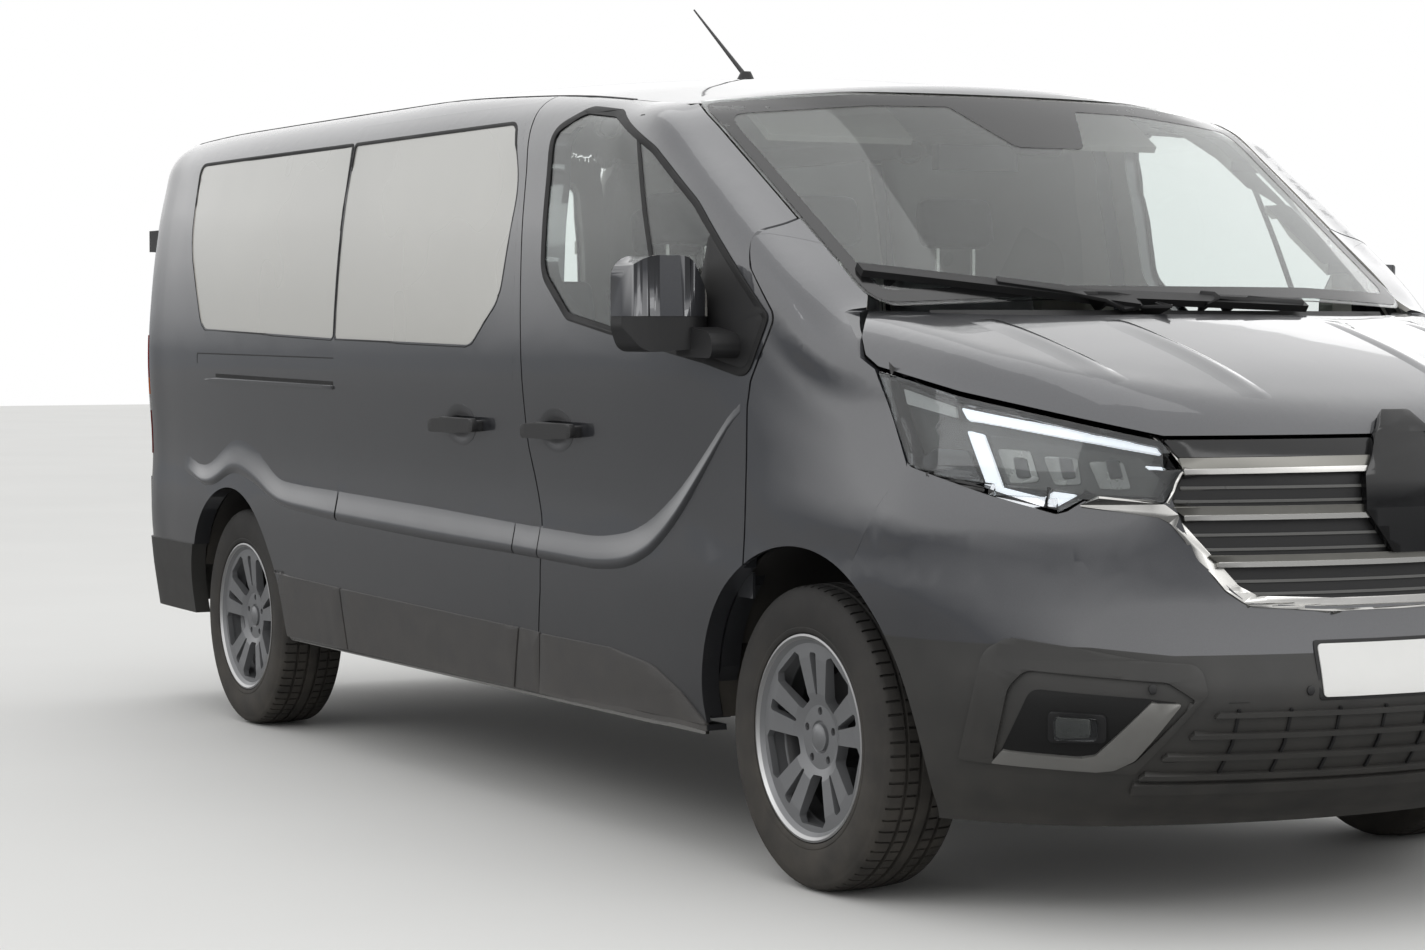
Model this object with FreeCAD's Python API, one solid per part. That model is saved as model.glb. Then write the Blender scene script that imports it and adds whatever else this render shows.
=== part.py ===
import FreeCAD, Part
import math
import os

# Glazed panel van, long wheelbase, left-hand drive, with a sliding door on its right side.
# X points forward, Y to the vehicle's left and Z up. The origin lies on the ground, half
# way along the body and on its centre line. Every length is in millimetres.

V = FreeCAD.Vector

# Overall size
body_length = 5480.0
body_width = 1956.0
roof_height = 1971.0
wheelbase = 3498.0
front_overhang = 1014.0
front_track = 1615.0
rear_track = 1628.0

# Wheels and tyres
tyre_radius = 345.0
tyre_width = 215.0
rim_radius = 233.0
spoke_groups = 5
bolt_count = 5
bolt_circle = 118.0
spindle_radius = 32.0
running_clearance = 0.3
seat_gap = 0.3
front_arch_radius = 430.0
rear_arch_radius = 412.0

# Panels
door_thickness = 46.0
door_flange = 12.0
door_inset = 14.0
door_gap = 6.0
side_thickness = door_thickness + door_gap
roof_thickness = 32.0
bonnet_thickness = 26.0
glass_thickness = 5.0
glass_recess = 2.0

# Heights of the load space and the lower edge
sill_bottom = 335.0
floor_top = 545.0
floor_thickness = 25.0
bumper_top_rear = 556.0

# Joint lines seen from the side
door_front_x = 1517.0
door_rear_x = 405.0
slider_front_x = 348.0
slider_rear_x = -867.0

# Steering
kingpin_y = 660.0
steering_wheel_radius = 192.0
steering_wheel_tilt = 40.0

half_length = body_length / 2
half_width = body_width / 2
front_axle_x = half_length - front_overhang
rear_axle_x = front_axle_x - wheelbase


# Curves of the body
def smooth_curve(points):
    """A smooth function through (position, value) points, straight beyond its ends."""
    at = [point[0] for point in points]
    value = [point[1] for point in points]
    slope = []
    for i in range(len(points) - 1):
        slope.append((value[i + 1] - value[i]) / (at[i + 1] - at[i]))
    tangent = [slope[0]]
    for before, after in zip(slope, slope[1:]):
        tangent.append(0.0 if before * after <= 0 else 2 * before * after / (before + after))
    tangent.append(slope[-1])

    def curve(t):
        if t <= at[0]:
            return value[0] + tangent[0] * (t - at[0])
        if t >= at[-1]:
            return value[-1] + tangent[-1] * (t - at[-1])
        i = 0
        while t > at[i + 1]:
            i += 1
        span = at[i + 1] - at[i]
        a = (t - at[i]) / span
        start = (1 + 2 * a) * (1 - a) ** 2 * value[i] + a * (1 - a) ** 2 * span * tangent[i]
        end = a * a * (3 - 2 * a) * value[i + 1] + a * a * (a - 1) * span * tangent[i + 1]
        return start + end

    return curve


def ease(low, high, t):
    """Rises smoothly from 0 at low to 1 at high."""
    t = min(max((t - low) / (high - low), 0.0), 1.0)
    return t * t * (3 - 2 * t)


def round_corner(a, b, radius):
    """Intersection of two signed distances with a rounded edge."""
    outside = math.hypot(max(radius + a, 0.0), max(radius + b, 0.0))
    return min(-radius, max(a, b)) + outside


# Inset of the side from its widest line, by height
side_inset = smooth_curve([(320, 46), (500, 20), (680, 7), (800, 14), (870, 14), (1080, 3),
                           (1170, 0), (1330, 7), (1570, 30), (1790, 70), (1900, 98)])
# Set-back of the nose from the foremost point, by height
nose_setback = smooth_curve([(220, 200), (340, 72), (430, 16), (500, 0), (600, 22), (700, 40),
                             (850, 50), (1000, 58), (1080, 70), (1200, 100)])
# Height of the roof along its centre line, below its highest point
roof_drop = smooth_curve([(-2740, 20), (-2000, 2), (-500, 0), (300, 30), (900, 84), (1300, 112)])
# Height of the bonnet along its centre line
bonnet_line = smooth_curve([(1500, 1350), (1750, 1335), (2000, 1292), (2200, 1240),
                            (2400, 1175), (2550, 1112), (2650, 1062)])

screen_foot_x = 2010.0
screen_foot_z = 1270.0
screen_rake = 1.487
screen_bow = 0.00028
screen_blend = 24.0
nose_bow = 0.00037
roof_bow = 0.000112
rear_face_x = -half_length + 40.0


def half_body(x, z):
    """Half width of the body at a place along it and a height."""
    nose = max((x - 900.0) / 1000.0, 0.0) ** 2
    tail = max((-1600.0 - x) / 1000.0, 0.0) ** 2
    return half_width - side_inset(z) - (35 + 57 * ease(800, 1200, z)) * nose - 25 * tail


def nose_x(y, z):
    return half_length - nose_setback(z) - nose_bow * y * y


def tail_x(y, z):
    return rear_face_x + 30 * max((z - 1000) / 600, 0.0) ** 2 + 0.00003 * y * y


def screen_x(y, z):
    return screen_foot_x - screen_rake * (z - screen_foot_z) - screen_bow * y * y


def bonnet_z(x, y):
    return bonnet_line(x) - 45 * (y / 850.0) ** 2


def cab_top(x, y, z):
    roof = z - (roof_height - roof_drop(x) - roof_bow * y * y)
    screen = (x - screen_x(y, z)) / math.hypot(1.0, screen_rake)
    return (roof + screen + math.hypot(roof - screen, screen_blend)) / 2


def plan_edge(x, y, z):
    corner = round_corner(abs(y) - half_body(x, z), x - nose_x(y, z), 300.0)
    return round_corner(corner, tail_x(y, z) - x, 110.0)


def body(x, y, z):
    """Signed distance, roughly, from the outer skin of the whole body."""
    top = min(cab_top(x, y, z), z - bonnet_z(x, y))
    edge = 85 - 50 * ease(700, 1050, x) + 75 * ease(1550, 2000, x)
    return round_corner(plan_edge(x, y, z), top, edge)


def nose_body(x, y, z):
    """The same without the cab, so that the bonnet runs on under the windscreen."""
    return round_corner(plan_edge(x, y, z), z - bonnet_z(x, y), 110.0)


# Panels as rays cast on to the skin, and layers between two depths below it
def cast(surface, origin, direction, reach=1600.0):
    """The point where a ray from inside the body leaves it."""
    inside = 0.0
    outside = reach
    for _ in range(34):
        middle = (inside + outside) / 2
        at = origin + direction * middle
        if surface(at.x, at.y, at.z) < 0:
            inside = middle
        else:
            outside = middle
    return origin + direction * inside


def cast_all(surface, rays):
    hits = []
    for row in rays:
        hits.append([(cast(surface, origin, way), way) for origin, way in row])
    return hits


def skin(hits, depth):
    """A smooth surface that lies at a depth below the cast points."""
    surface = Part.BSplineSurface()
    surface.interpolate([[point - way * depth for point, way in row] for row in hits])
    return surface


def closed_solid(faces):
    shell = Part.Shell(faces)
    shell.sewShape()
    solid = Part.Solid(shell)
    if solid.Volume < 0:
        solid.reverse()
    return solid


def layer(hits, outer_depth, inner_depth):
    """A thick panel between two depths below the cast points."""
    outer = skin(hits, outer_depth)
    inner = skin(hits, inner_depth)
    u0, u1, v0, v1 = outer.bounds()
    s0, s1, t0, t1 = inner.bounds()
    pairs = [(outer.uIso(u0), inner.uIso(s0)), (outer.uIso(u1), inner.uIso(s1)),
             (outer.vIso(v0), inner.vIso(t0)), (outer.vIso(v1), inner.vIso(t1))]
    faces = [outer.toShape(), inner.toShape()]
    for a, b in pairs:
        faces.append(Part.makeRuledSurface(a.toShape(), b.toShape()))
    return closed_solid(faces)


def spread(low, high, count):
    return [low + (high - low) * i / (count - 1) for i in range(count)]


# Outlines with rounded corners, and the prisms that cut the panels apart
def from_side(a, b):
    return V(a, 0, b)


def from_front(a, b):
    return V(0, a, b)


def from_above(a, b):
    return V(a, b, 0)


lamp_view = math.radians(35.0)


def from_corner(a, b):
    """Plane of the left lamp, seen along a line that runs 35 degrees off the X axis."""
    return V(a * math.sin(lamp_view), -a * math.cos(lamp_view), b)


def outline(points, plane, grow=0.0):
    """Closed wire through (a, b, corner radius) points, offset outwards by grow."""
    corners = [plane(a, b) for a, b, _ in points]
    count = len(points)
    edges = []
    last = None
    first = None
    for i in range(count):
        here = corners[i]
        to_back = corners[i - 1] - here
        to_next = corners[(i + 1) % count] - here
        radius = points[i][2]
        if radius > 0:
            half = to_back.getAngle(to_next) / 2
            cut = min(radius / math.tan(half), 0.48 * to_back.Length, 0.48 * to_next.Length)
            radius = cut * math.tan(half)
            back = here + V(to_back).normalize() * cut
            ahead = here + V(to_next).normalize() * cut
            centre_way = (V(to_back).normalize() + V(to_next).normalize()).normalize()
            middle = here + centre_way * (radius / math.sin(half) - radius)
        else:
            back = here
            ahead = here
        if last is not None and (last - back).Length > 0.001:
            edges.append(Part.LineSegment(last, back).toShape())
        if first is None:
            first = back
        if radius > 0:
            edges.append(Part.Arc(back, middle, ahead).toShape())
        last = ahead
    if (last - first).Length > 0.001:
        edges.append(Part.LineSegment(last, first).toShape())
    wire = Part.Wire(edges)
    if grow:
        wire = wire.makeOffset2D(grow)
    return wire


def prism(points, plane, travel, grow=0.0, start=V(0, 0, 0)):
    wire = outline(points, plane, grow)
    solid = Part.Face(wire).extrude(travel)
    solid.translate(start)
    return solid


far = 1400.0


def side_prism(points, grow=0.0, y0=0.0, y1=far):
    return prism(points, from_side, V(0, y1 - y0, 0), grow, V(0, y0, 0))


def mirrored(shape):
    return shape.mirror(V(0, 0, 0), V(0, 1, 0))


def box(x0, x1, y0, y1, z0, z1):
    return Part.makeBox(x1 - x0, y1 - y0, z1 - z0, V(x0, y0, z0))


def cylinder_y(x, z, radius, y0, y1):
    return Part.makeCylinder(radius, y1 - y0, V(x, y0, z), V(0, 1, 0))


def both_sides(shape):
    return Part.makeCompound([shape, mirrored(shape)])


def pieces(shape):
    """The shape as one solid, or as a compound of its solids."""
    solids = shape.Solids
    if len(solids) == 1:
        return solids[0]
    return Part.makeCompound(solids)


nodes = {}


def keep(name, shape):
    nodes[name] = pieces(shape)


# Left side of the body as one thick skin, from the rear door round to the headlamp
def side_rays():
    spine_y = 690.0
    spine_top = smooth_curve([(-2600, 1750), (600, 1765), (850, 1735), (1100, 1600),
                              (1300, 1465), (1500, 1330), (1700, 1195), (1900, 1120),
                              (2250, 1080)])
    corner_x = -2560.0
    stations = [(corner_x, math.radians(turn)) for turn in (88, 74, 60, 45, 30, 15)]
    stations += [(x, 0.0) for x in spread(corner_x, 2250.0, 38)]
    fan = [math.radians(turn) for turn in (13, 26, 39, 52, 65, 78)]
    rays = []
    for x, turn in stations:
        top = spine_top(x)
        lean = math.atan2(spine_top(x - 20) - spine_top(x + 20), 40.0)
        row = []
        for z in spread(300.0, top, 15):
            row.append((V(x, spine_y, z), V(-math.sin(turn), math.cos(turn), 0)))
        for rise in fan:
            up = V(math.sin(lean), 0, math.cos(lean)) * math.sin(rise)
            out = V(-math.sin(turn), math.cos(turn), 0) * math.cos(rise)
            row.append((V(x, spine_y, top), up + out))
        rays.append(row)
    return rays


side_hits = cast_all(body, side_rays())

# Joint lines and windows of the side, each point with its corner radius
cab_door_line = [(415, sill_bottom, 8), (492, 591, 120), (510, 760, 160), (424, 960, 200),
                 (door_rear_x - 6, 1230, 300), (346, 1680, 200), (318, 1800, 100),
                 (270, 1905, 60), (270, 2100, 5), (1100, 2100, 5), (1474, 1600, 5),
                 (1474, 1482, 20), (1508, 1398, 25), (1612, 1285, 30),
                 (1528, 1140, 40), (door_front_x, 1080, 60), (door_front_x, 300, 10),
                 (1300, sill_bottom, 10)]
slider_line = [(slider_rear_x, sill_bottom, 8), (slider_rear_x, 1852, 12), (246, 1852, 12),
               (318, 1697, 80), (slider_front_x + 4, 1230, 400), (342, 900, 300),
               (270, sill_bottom, 8)]
cab_glass_line = [(664, 1288, 60), (505, 1400, 90), (470, 1762, 50), (592, 1812, 90),
                  (774, 1792, 90), (1040, 1690, 300), (1270, 1552, 300), (1585, 1284, 14),
                  (1515, 1152, 50), (1346, 1186, 60)]
slider_glass_line = [(slider_rear_x + 8, 1232, 14), (slider_rear_x + 8, 1797, 14),
                     (224, 1799, 60), (310, 1632, 200), (253, 1342, 120), (86, 1216, 90)]
quarter_glass_line = [(-2190, 1797, 45), (-2158, 1529, 300), (-1995, 1262, 90),
                      (slider_rear_x - 8, 1232, 14), (slider_rear_x - 8, 1797, 14)]
screen_line = [(-770, 1306, 60), (-798, 1812, 50), (-420, 1842, 900), (420, 1842, 900),
               (798, 1812, 50), (770, 1306, 60), (400, 1322, 900), (-400, 1322, 900)]
front_fender_line = [(1523, 300, 5), (1523, 1080, 60), (1535, 1140, 40), (1620, 1285, 30),
                     (1518, 1392, 40), (1472, 1482, 10), (1680, 1420, 5), (1830, 1330, 5),
                     (1766, 1298, 5), (1872, 1235, 40), (1902, 1196, 25), (1955, 1170, 4),
                     (2103, 966, 4), (2030, 880, 5), (1950, 755, 5), (1950, 300, 5)]

front_arch = cylinder_y(front_axle_x, tyre_radius, front_arch_radius, 0, far)
rear_arch = cylinder_y(rear_axle_x, tyre_radius, rear_arch_radius, 0, far)

side_skin = layer(side_hits, 0, side_thickness)
door_skin = layer(side_hits, 0, door_thickness)
side_glass_skin = layer(side_hits, glass_recess, glass_recess + glass_thickness)
fender_skin = layer(side_hits, 0, 12)

cab_door_hole = side_prism(cab_door_line)
slider_hole = side_prism(slider_line)
slider_window = side_prism(slider_glass_line)
quarter_window = side_prism(quarter_glass_line)
cab_window = side_prism(cab_glass_line)

ditch_y = 800.0
roof_side_cut = box(-3000, 1000, 0, ditch_y, 1700, 2100)
screen_cut = prism(screen_line, from_front, V(2000, 0, 0), 0, V(850, 0, 0))
front_cut = side_prism([(1450, 200, 1), (1450, 1482, 1), (1472, 1482, 1), (1516, 1400, 10),
                        (2600, 1400, 1), (2600, 200, 1)])
rear_door_line = [(3, bumper_top_rear + 4, 4), (838, bumper_top_rear + 4, 8),
                  (846, 1170, 300), (818, 1570, 300), (768, 1866, 40), (400, 1884, 900),
                  (3, 1890, 4)]
rear_door_hole = prism(rear_door_line, from_front, V(500, 0, 0), door_gap, V(-2900, 0, 0))
behind_floor = box(-3000, -1990, 0, far, 250, bumper_top_rear)


daylight_line = [(470, 420, 40), (560, 600, 60), (575, 800, 80), (480, 1000, 80),
                 (445, 1230, 200), (405, 1650, 100), (400, 1800, 60), (640, 1835, 90),
                 (830, 1810, 90), (1060, 1705, 200), (1290, 1560, 100), (1415, 1440, 60),
                 (1415, 1250, 60), (1400, 820, 60), (1180, 420, 60)]
post_area = side_prism([(300, sill_bottom, 1), (300, 2000, 1), (1000, 2000, 1),
                        (1540, 1560, 1), (1500, 1330, 1), (1500, 760, 1),
                        (1230, sill_bottom, 1)])

# The top of the door's front edge swings through this space as it opens
door_swing = layer(side_hits, 0, side_thickness + 30)
door_swing = door_swing.common(box(1120, 1700, 0, far, 1420, 2000))


def frame_posts(grow):
    """Inner frame that the cab door closes on, and that joins the rail, posts and sill."""
    ring = layer(side_hits, side_thickness - 0.5, side_thickness + 50 + grow).common(post_area)
    posts = ring.cut(side_prism(daylight_line, -grow))
    posts = posts.cut(box(0, 1700, 0, 745, 1300, 2100)).cut(front_arch)
    pillar_bend = ring.common(box(1262, 1306, 745, far, 1540, 1590))
    return posts.fuse(pillar_bend).cut(door_swing)


door_frame_posts = frame_posts(0.0)
hinge_side = layer(side_hits, door_thickness + seat_gap, side_thickness + 1)
for block in ((1425, 1490, 640, 700), (1425, 1490, 1000, 1060), (425, 460, 1010, 1060)):
    x0, x1, z0, z1 = block
    door_frame_posts = door_frame_posts.fuse(hinge_side.common(box(x0, x1, 0, far, z0, z1)))
under_fender = layer(side_hits, -20, 12 + seat_gap)
under_fender = under_fender.common(side_prism(front_fender_line, seat_gap))


def cut_side(with_slider):
    """One body side: quarter panel, posts, roof rail and sill as a single ring."""
    panel = side_skin.cut(front_cut)
    panel = panel.cut(roof_side_cut)
    panel = panel.cut(screen_cut)
    panel = panel.cut(under_fender)
    panel = panel.cut(rear_door_hole)
    panel = panel.cut(side_prism(cab_door_line, door_gap))
    panel = panel.cut(front_arch)
    panel = panel.cut(rear_arch)
    panel = panel.cut(behind_floor)
    panel = panel.cut(quarter_window)
    if with_slider:
        panel = panel.cut(slider_hole)
    else:
        panel = panel.cut(slider_window)
    lower = box(-3000, 3000, 0, far, 200, sill_bottom - 20)
    panel = panel.cut(lower)
    return panel.fuse(door_frame_posts)


body_side_left = cut_side(False)
body_side_right = mirrored(cut_side(True))
keep("body_side_left", body_side_left)
keep("body_side_right", body_side_right)

# Sliding door, standing closed in its opening
sliding_panel = door_skin.common(slider_hole).cut(slider_window)
sliding_panel = sliding_panel.cut(box(-3000, 1000, 0, ditch_y + seat_gap, 1700, 2100))
keep("sliding_door", mirrored(sliding_panel))

# Fixed side glass: quarter panes, sliding door pane and the left middle pane
quarter_pane = side_glass_skin.common(quarter_window)
middle_pane = side_glass_skin.common(slider_window)
keep("side_glass", Part.makeCompound([quarter_pane, middle_pane, mirrored(quarter_pane),
                                      mirrored(middle_pane)]))

# Cab doors with their glass and mirrors
cab_panel = layer(side_hits, 0, door_flange).common(cab_door_hole)
cab_lining = layer(side_hits, door_flange, door_thickness)
cab_panel = cab_panel.fuse(cab_lining.common(side_prism(cab_door_line, -door_inset)))
cab_panel = cab_panel.cut(box(0, 1000, 0, ditch_y + door_gap, 1700, 2100))
cab_panel = cab_panel.cut(prism(screen_line, from_front, V(2000, 0, 0), door_gap,
                                V(800, 0, 0)))
cab_panel = cab_panel.cut(cab_window).cut(front_arch)
cab_pane = side_glass_skin.common(cab_window)


def mirror_arm():
    """Mirror head with a foot that meets the sail panel of the door glass."""
    seen_ahead = prism([(1140, 1262, 40), (1140, 1425, 52), (1020, 1425, 40),
                        (968, 1335, 60), (962, 1215, 24), (1118, 1203, 34)], from_front,
                       V(400, 0, 0), 0, V(1100, 0, 0))
    seen_above = prism([(1218, 1144, 14), (1218, 962, 10), (1345, 940, 30), (1398, 1000, 60),
                        (1352, 1120, 80), (1262, 1144, 40)], from_above, V(0, 0, 400), 0,
                       V(0, 0, 1100))
    head = seen_ahead.common(seen_above)
    foot = prism([(1320, 1196, 10), (1490, 1190, 20), (1490, 1246, 30), (1400, 1262, 40),
                  (1322, 1262, 10)], from_side, V(0, 130, 0), 0, V(0, 890, 0))
    arm = head.fuse(foot)
    return arm.cut(layer(side_hits, glass_recess - seat_gap, 300))


mirror = mirror_arm()
keep("cab_door_left", cab_panel)
keep("cab_door_glass_left", cab_pane)
keep("mirror_left", mirror)
keep("cab_door_right", mirrored(cab_panel))
keep("cab_door_glass_right", mirrored(cab_pane))
keep("mirror_right", mirrored(mirror))

# Front fenders
fender = fender_skin.common(side_prism(front_fender_line))
fender = fender.cut(front_arch).cut(screen_cut)


# Roof
def roof_rays():
    rays = []
    rear_x = -2480.0
    front_x = 760.0
    stations = [(rear_x, -math.radians(turn)) for turn in (80, 64, 48, 32, 16)]
    stations += [(x, 0.0) for x in spread(rear_x, front_x, 14)]
    stations += [(front_x, math.radians(turn)) for turn in (12, 24, 36, 47, 56, 64, 70)]
    for x, turn in stations:
        row = []
        for y in spread(-815.0, 815.0, 15):
            row.append((V(x, y, 1640), V(math.sin(turn), 0, math.cos(turn))))
        rays.append(row)
    return rays


roof_hits = cast_all(body, roof_rays())
roof = layer(roof_hits, 0, roof_thickness)
roof_plan = [(-3000, -ditch_y, 1), (1200, -ditch_y, 1), (1200, ditch_y, 1),
             (-3000, ditch_y, 1)]
roof = roof.common(prism(roof_plan, from_above, V(0, 0, 800), 0, V(0, 0, 1500)))
roof = roof.cut(screen_cut)
roof = roof.cut(box(800, 1500, -900, 900, 1500, 1806))
roof = roof.cut(rear_door_hole).cut(mirrored(rear_door_hole))
roof = roof.cut(box(-3000, -2450, -900, 900, 1400, 1840))
for hole_x in (-1900, -300):
    for hole_y in (-740, 740):
        roof = roof.cut(Part.makeCylinder(4.5, 400, V(hole_x, hole_y, 1600)))
keep("roof_panel", roof)


# Windscreen and the scuttle panel below it
def screen_rays():
    rays = []
    normal = V(1.0, 0, screen_rake).normalize()
    for z in spread(1240.0, 1880.0, 12):
        row = []
        for y in spread(-815.0, 815.0, 17):
            surface_point = V(screen_x(y, z), y, z)
            row.append((surface_point - normal * 220, normal))
        rays.append(row)
    return rays


def cab_only(x, y, z):
    return round_corner(plan_edge(x, y, z), cab_top(x, y, z), 35.0)


screen_hits = cast_all(cab_only, screen_rays())
windscreen = layer(screen_hits, glass_recess, glass_recess + glass_thickness)
windscreen = windscreen.common(prism(screen_line, from_front, V(2000, 0, 0), -seat_gap,
                                     V(912, 0, 0)))
keep("windscreen", max(windscreen.Solids, key=lambda solid: solid.Volume))


bonnet_rear = smooth_curve([(0, 2006), (184, 2000), (324, 1988), (441, 1962), (540, 1926),
                            (634, 1879), (709, 1800), (760, 1766)])


def bonnet_rear_x(y):
    return bonnet_rear(abs(y))


def scuttle():
    """Curved tray between the foot of the windscreen and the back of the bonnet."""
    top = []
    bottom = []
    for y in spread(-650.0, 650.0, 13):
        back = screen_x(y, 1306) - 14
        front = bonnet_rear_x(y) - 10
        low = bonnet_z(front, y) - bonnet_thickness - 14
        ends = [(back, 1300.0), ((back + front) / 2, (1300.0 + low) / 2 - 4), (front, low)]
        top.append([V(x, y, z) for x, z in ends])
        bottom.append([V(x, y, z - 14) for x, z in ends])
    upper = Part.BSplineSurface()
    upper.interpolate(top)
    lower = Part.BSplineSurface()
    lower.interpolate(bottom)
    u0, u1, v0, v1 = upper.bounds()
    faces = [upper.toShape(), lower.toShape()]
    for t in (u0, u1):
        faces.append(Part.makeRuledSurface(upper.uIso(t).toShape(), lower.uIso(t).toShape()))
    for t in (v0, v1):
        faces.append(Part.makeRuledSurface(upper.vIso(t).toShape(), lower.vIso(t).toShape()))
    return closed_solid(faces)


scuttle_panel = scuttle()
keep("scuttle_panel", scuttle_panel)


# Bonnet
def bonnet_rays():
    rays = []
    core_x = 2380.0
    stations = [(x, 0.0) for x in spread(1720.0, core_x, 12)]
    stations += [(core_x, math.radians(turn)) for turn in (13, 26, 39, 52, 65, 78)]
    across = [(-560.0, -math.radians(turn)) for turn in (84, 72, 60, 48, 36, 24, 12)]
    across += [(y, 0.0) for y in spread(-560.0, 560.0, 11)]
    across += [(560.0, math.radians(turn)) for turn in (12, 24, 36, 48, 60, 72, 84)]
    for x, pitch in stations:
        row = []
        for y, roll in across:
            way = V(math.sin(pitch) * math.cos(roll), math.sin(roll),
                    math.cos(pitch) * math.cos(roll))
            row.append((V(x, y, 930), way))
        rays.append(row)
    return rays


bonnet_hits = cast_all(nose_body, bonnet_rays())
bonnet = layer(bonnet_hits, 0, bonnet_thickness)

# Line between the bonnet above and the lamp and fender below, in the lamp's view
lamp_top_line = [(376, 1300), (371, 1235), (382, 1195), (411, 1171), (593, 1120),
                 (843, 1067), (1012, 1032)]


def below_bonnet(grow):
    """What lies under the bonnet's edge on the left half."""
    line = [(-200, 1500, 1), (376 + grow, 1500, 1), (376 + grow, 1300 + grow, 1)]
    for s, z in lamp_top_line[1:]:
        line.append((s + grow * 0.3, z + grow, 12))
    line += [(1700, 1032 + grow, 1), (1700, 0, 1), (-200, 0, 1)]
    reach = V(math.cos(lamp_view), math.sin(lamp_view), 0) * 5000
    return prism(line, from_corner, reach, 0, reach * -0.1)


under_left = below_bonnet(door_gap)
centre_front = box(2300, 3000, -420, 420, 0, 1029 + door_gap)
rear_line = [(bonnet_rear_x(y), y, 0) for y in spread(-1000.0, 1000.0, 41)]
behind_bonnet = prism(rear_line + [(1000, 1000, 0), (1000, -1000, 0)], from_above,
                      V(0, 0, 2000))
left_half = box(1000, 3000, 0, 1500, 0, 2000)
bonnet_left = bonnet.common(left_half).cut(under_left)
bonnet = bonnet_left.fuse(mirrored(bonnet_left)).cut(centre_front).cut(behind_bonnet)
keep("bonnet", bonnet.removeSplitter())


# Nose below the bonnet as one thick skin round the front
def nose_rays():
    rays = []
    core_x = 2240.0
    core_y = 560.0
    path = [(x, core_y, 90.0) for x in spread(1850.0, core_x, 5)]
    path += [(core_x, core_y, turn) for turn in (78, 66, 54, 42, 30, 18, 8)]
    path += [(core_x, y, 0.0) for y in spread(core_y, 0.0, 6)]
    path += [(x, -y, -turn) for x, y, turn in reversed(path[:-1])]
    fan = [math.radians(turn) for turn in (12, 24, 36, 48)]
    for x, y, turn in path:
        angle = math.radians(turn)
        out = V(math.cos(angle), math.sin(angle), 0)
        row = [(V(x, y, z), out) for z in spread(215.0, 1040.0, 17)]
        for rise in fan:
            row.append((V(x, y, 1040), out * math.cos(rise) + V(0, 0, math.sin(rise))))
        rays.append(row)
    return rays


nose_hits = cast_all(nose_body, nose_rays())
nose_skin = layer(nose_hits, 0, 30)
lamp_skin = layer(nose_hits, 1, 110)

lamp_line = [(409, 1168, 6), (485, 966, 20), (656, 912, 60), (795, 876, 14), (818, 882, 14),
             (852, 904, 12), (1016, 899, 10), (1057, 966, 8), (1010, 1029, 8),
             (843, 1064, 200), (593, 1117, 200)]
reach_corner = V(math.cos(lamp_view), math.sin(lamp_view), 0) * 4000
lamp_prism = prism(lamp_line, from_corner, reach_corner, 0, reach_corner * 0.12)
above_bumper = side_prism([(1500, 1600, 1), (1500, 200, 1), (1950.3, 200, 1),
                           (1950.3, 755, 1), (2030.3, 880, 1), (2103.3, 966, 1),
                           (2103.3, 1600, 1)], 0, -far, far)

grille_line = [(575, 1045, 6), (545, 905, 10), (500, 785, 40), (400, 694, 60),
               (220, 684, 200), (-220, 684, 200), (-400, 694, 60), (-500, 785, 40),
               (-545, 905, 10), (-575, 1045, 6)]
grille_hole = prism(grille_line, from_front, V(1500, 0, 0), 0, V(2000, 0, 0))
insert_line = [(-1400, 606, 1), (-700, 606, 60), (-560, 590, 60), (560, 590, 60),
               (700, 606, 60), (1400, 606, 1), (1400, 0, 1), (-1400, 0, 1)]
insert_zone = prism(insert_line, from_front, V(2000, 0, 0), 0, V(1200, 0, 0))

nose_panel = nose_skin.cut(above_bumper).cut(front_arch).cut(mirrored(front_arch))
top_cut = box(1500, 3000, -1200, 1200, 1029, 1500)
upper_bumper = nose_panel.cut(top_cut).cut(lamp_prism).cut(mirrored(lamp_prism))
upper_bumper = upper_bumper.cut(grille_hole).cut(insert_zone)
keep("front_bumper", upper_bumper)
towing_hole_radius = 24.0
towing_hole = Part.makeCylinder(towing_hole_radius, 400, V(2520, 480, 480), V(1, 0, 0))
bumper_insert = nose_panel.common(insert_zone).cut(towing_hole)
keep("bumper_insert", bumper_insert)
headlamp = lamp_skin.common(lamp_prism)
keep("headlamps", both_sides(headlamp))
keep("front_fenders", both_sides(fender.cut(lamp_prism).common(below_bonnet(0.0))))
lamp_space = prism(lamp_line, from_corner, reach_corner, seat_gap, reach_corner * 0.12)
grille_skin = layer(nose_hits, 14, 30)
grille = grille_skin.common(grille_hole).cut(lamp_space).cut(mirrored(lamp_space))
grille = grille.cut(top_cut)
keep("grille", grille)


# Rear doors, bumper and lamps
def tail_rays(low, high, count):
    rays = []
    for z in spread(low, high, count):
        rays.append([(V(-2300, y, z), V(-1, 0, 0)) for y in spread(-850.0, 850.0, 15)])
    return rays


tail_hits = cast_all(body, tail_rays(540.0, 1892.0, 14))
tail_skin = layer(tail_hits, 0, door_thickness)
rear_glass_skin = layer(tail_hits, glass_recess, glass_recess + glass_thickness)
rear_glass_line = [(95, 1245, 40), (745, 1245, 60), (725, 1560, 300), (690, 1790, 50),
                   (95, 1800, 40)]
rear_leaf = tail_skin.common(prism(rear_door_line, from_front, V(500, 0, 0), 0,
                                   V(-2900, 0, 0)))
rear_window = prism(rear_glass_line, from_front, V(500, 0, 0), 0, V(-2900, 0, 0))
rear_leaf = rear_leaf.cut(rear_window)
rear_pane = rear_glass_skin.common(rear_window)

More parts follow.
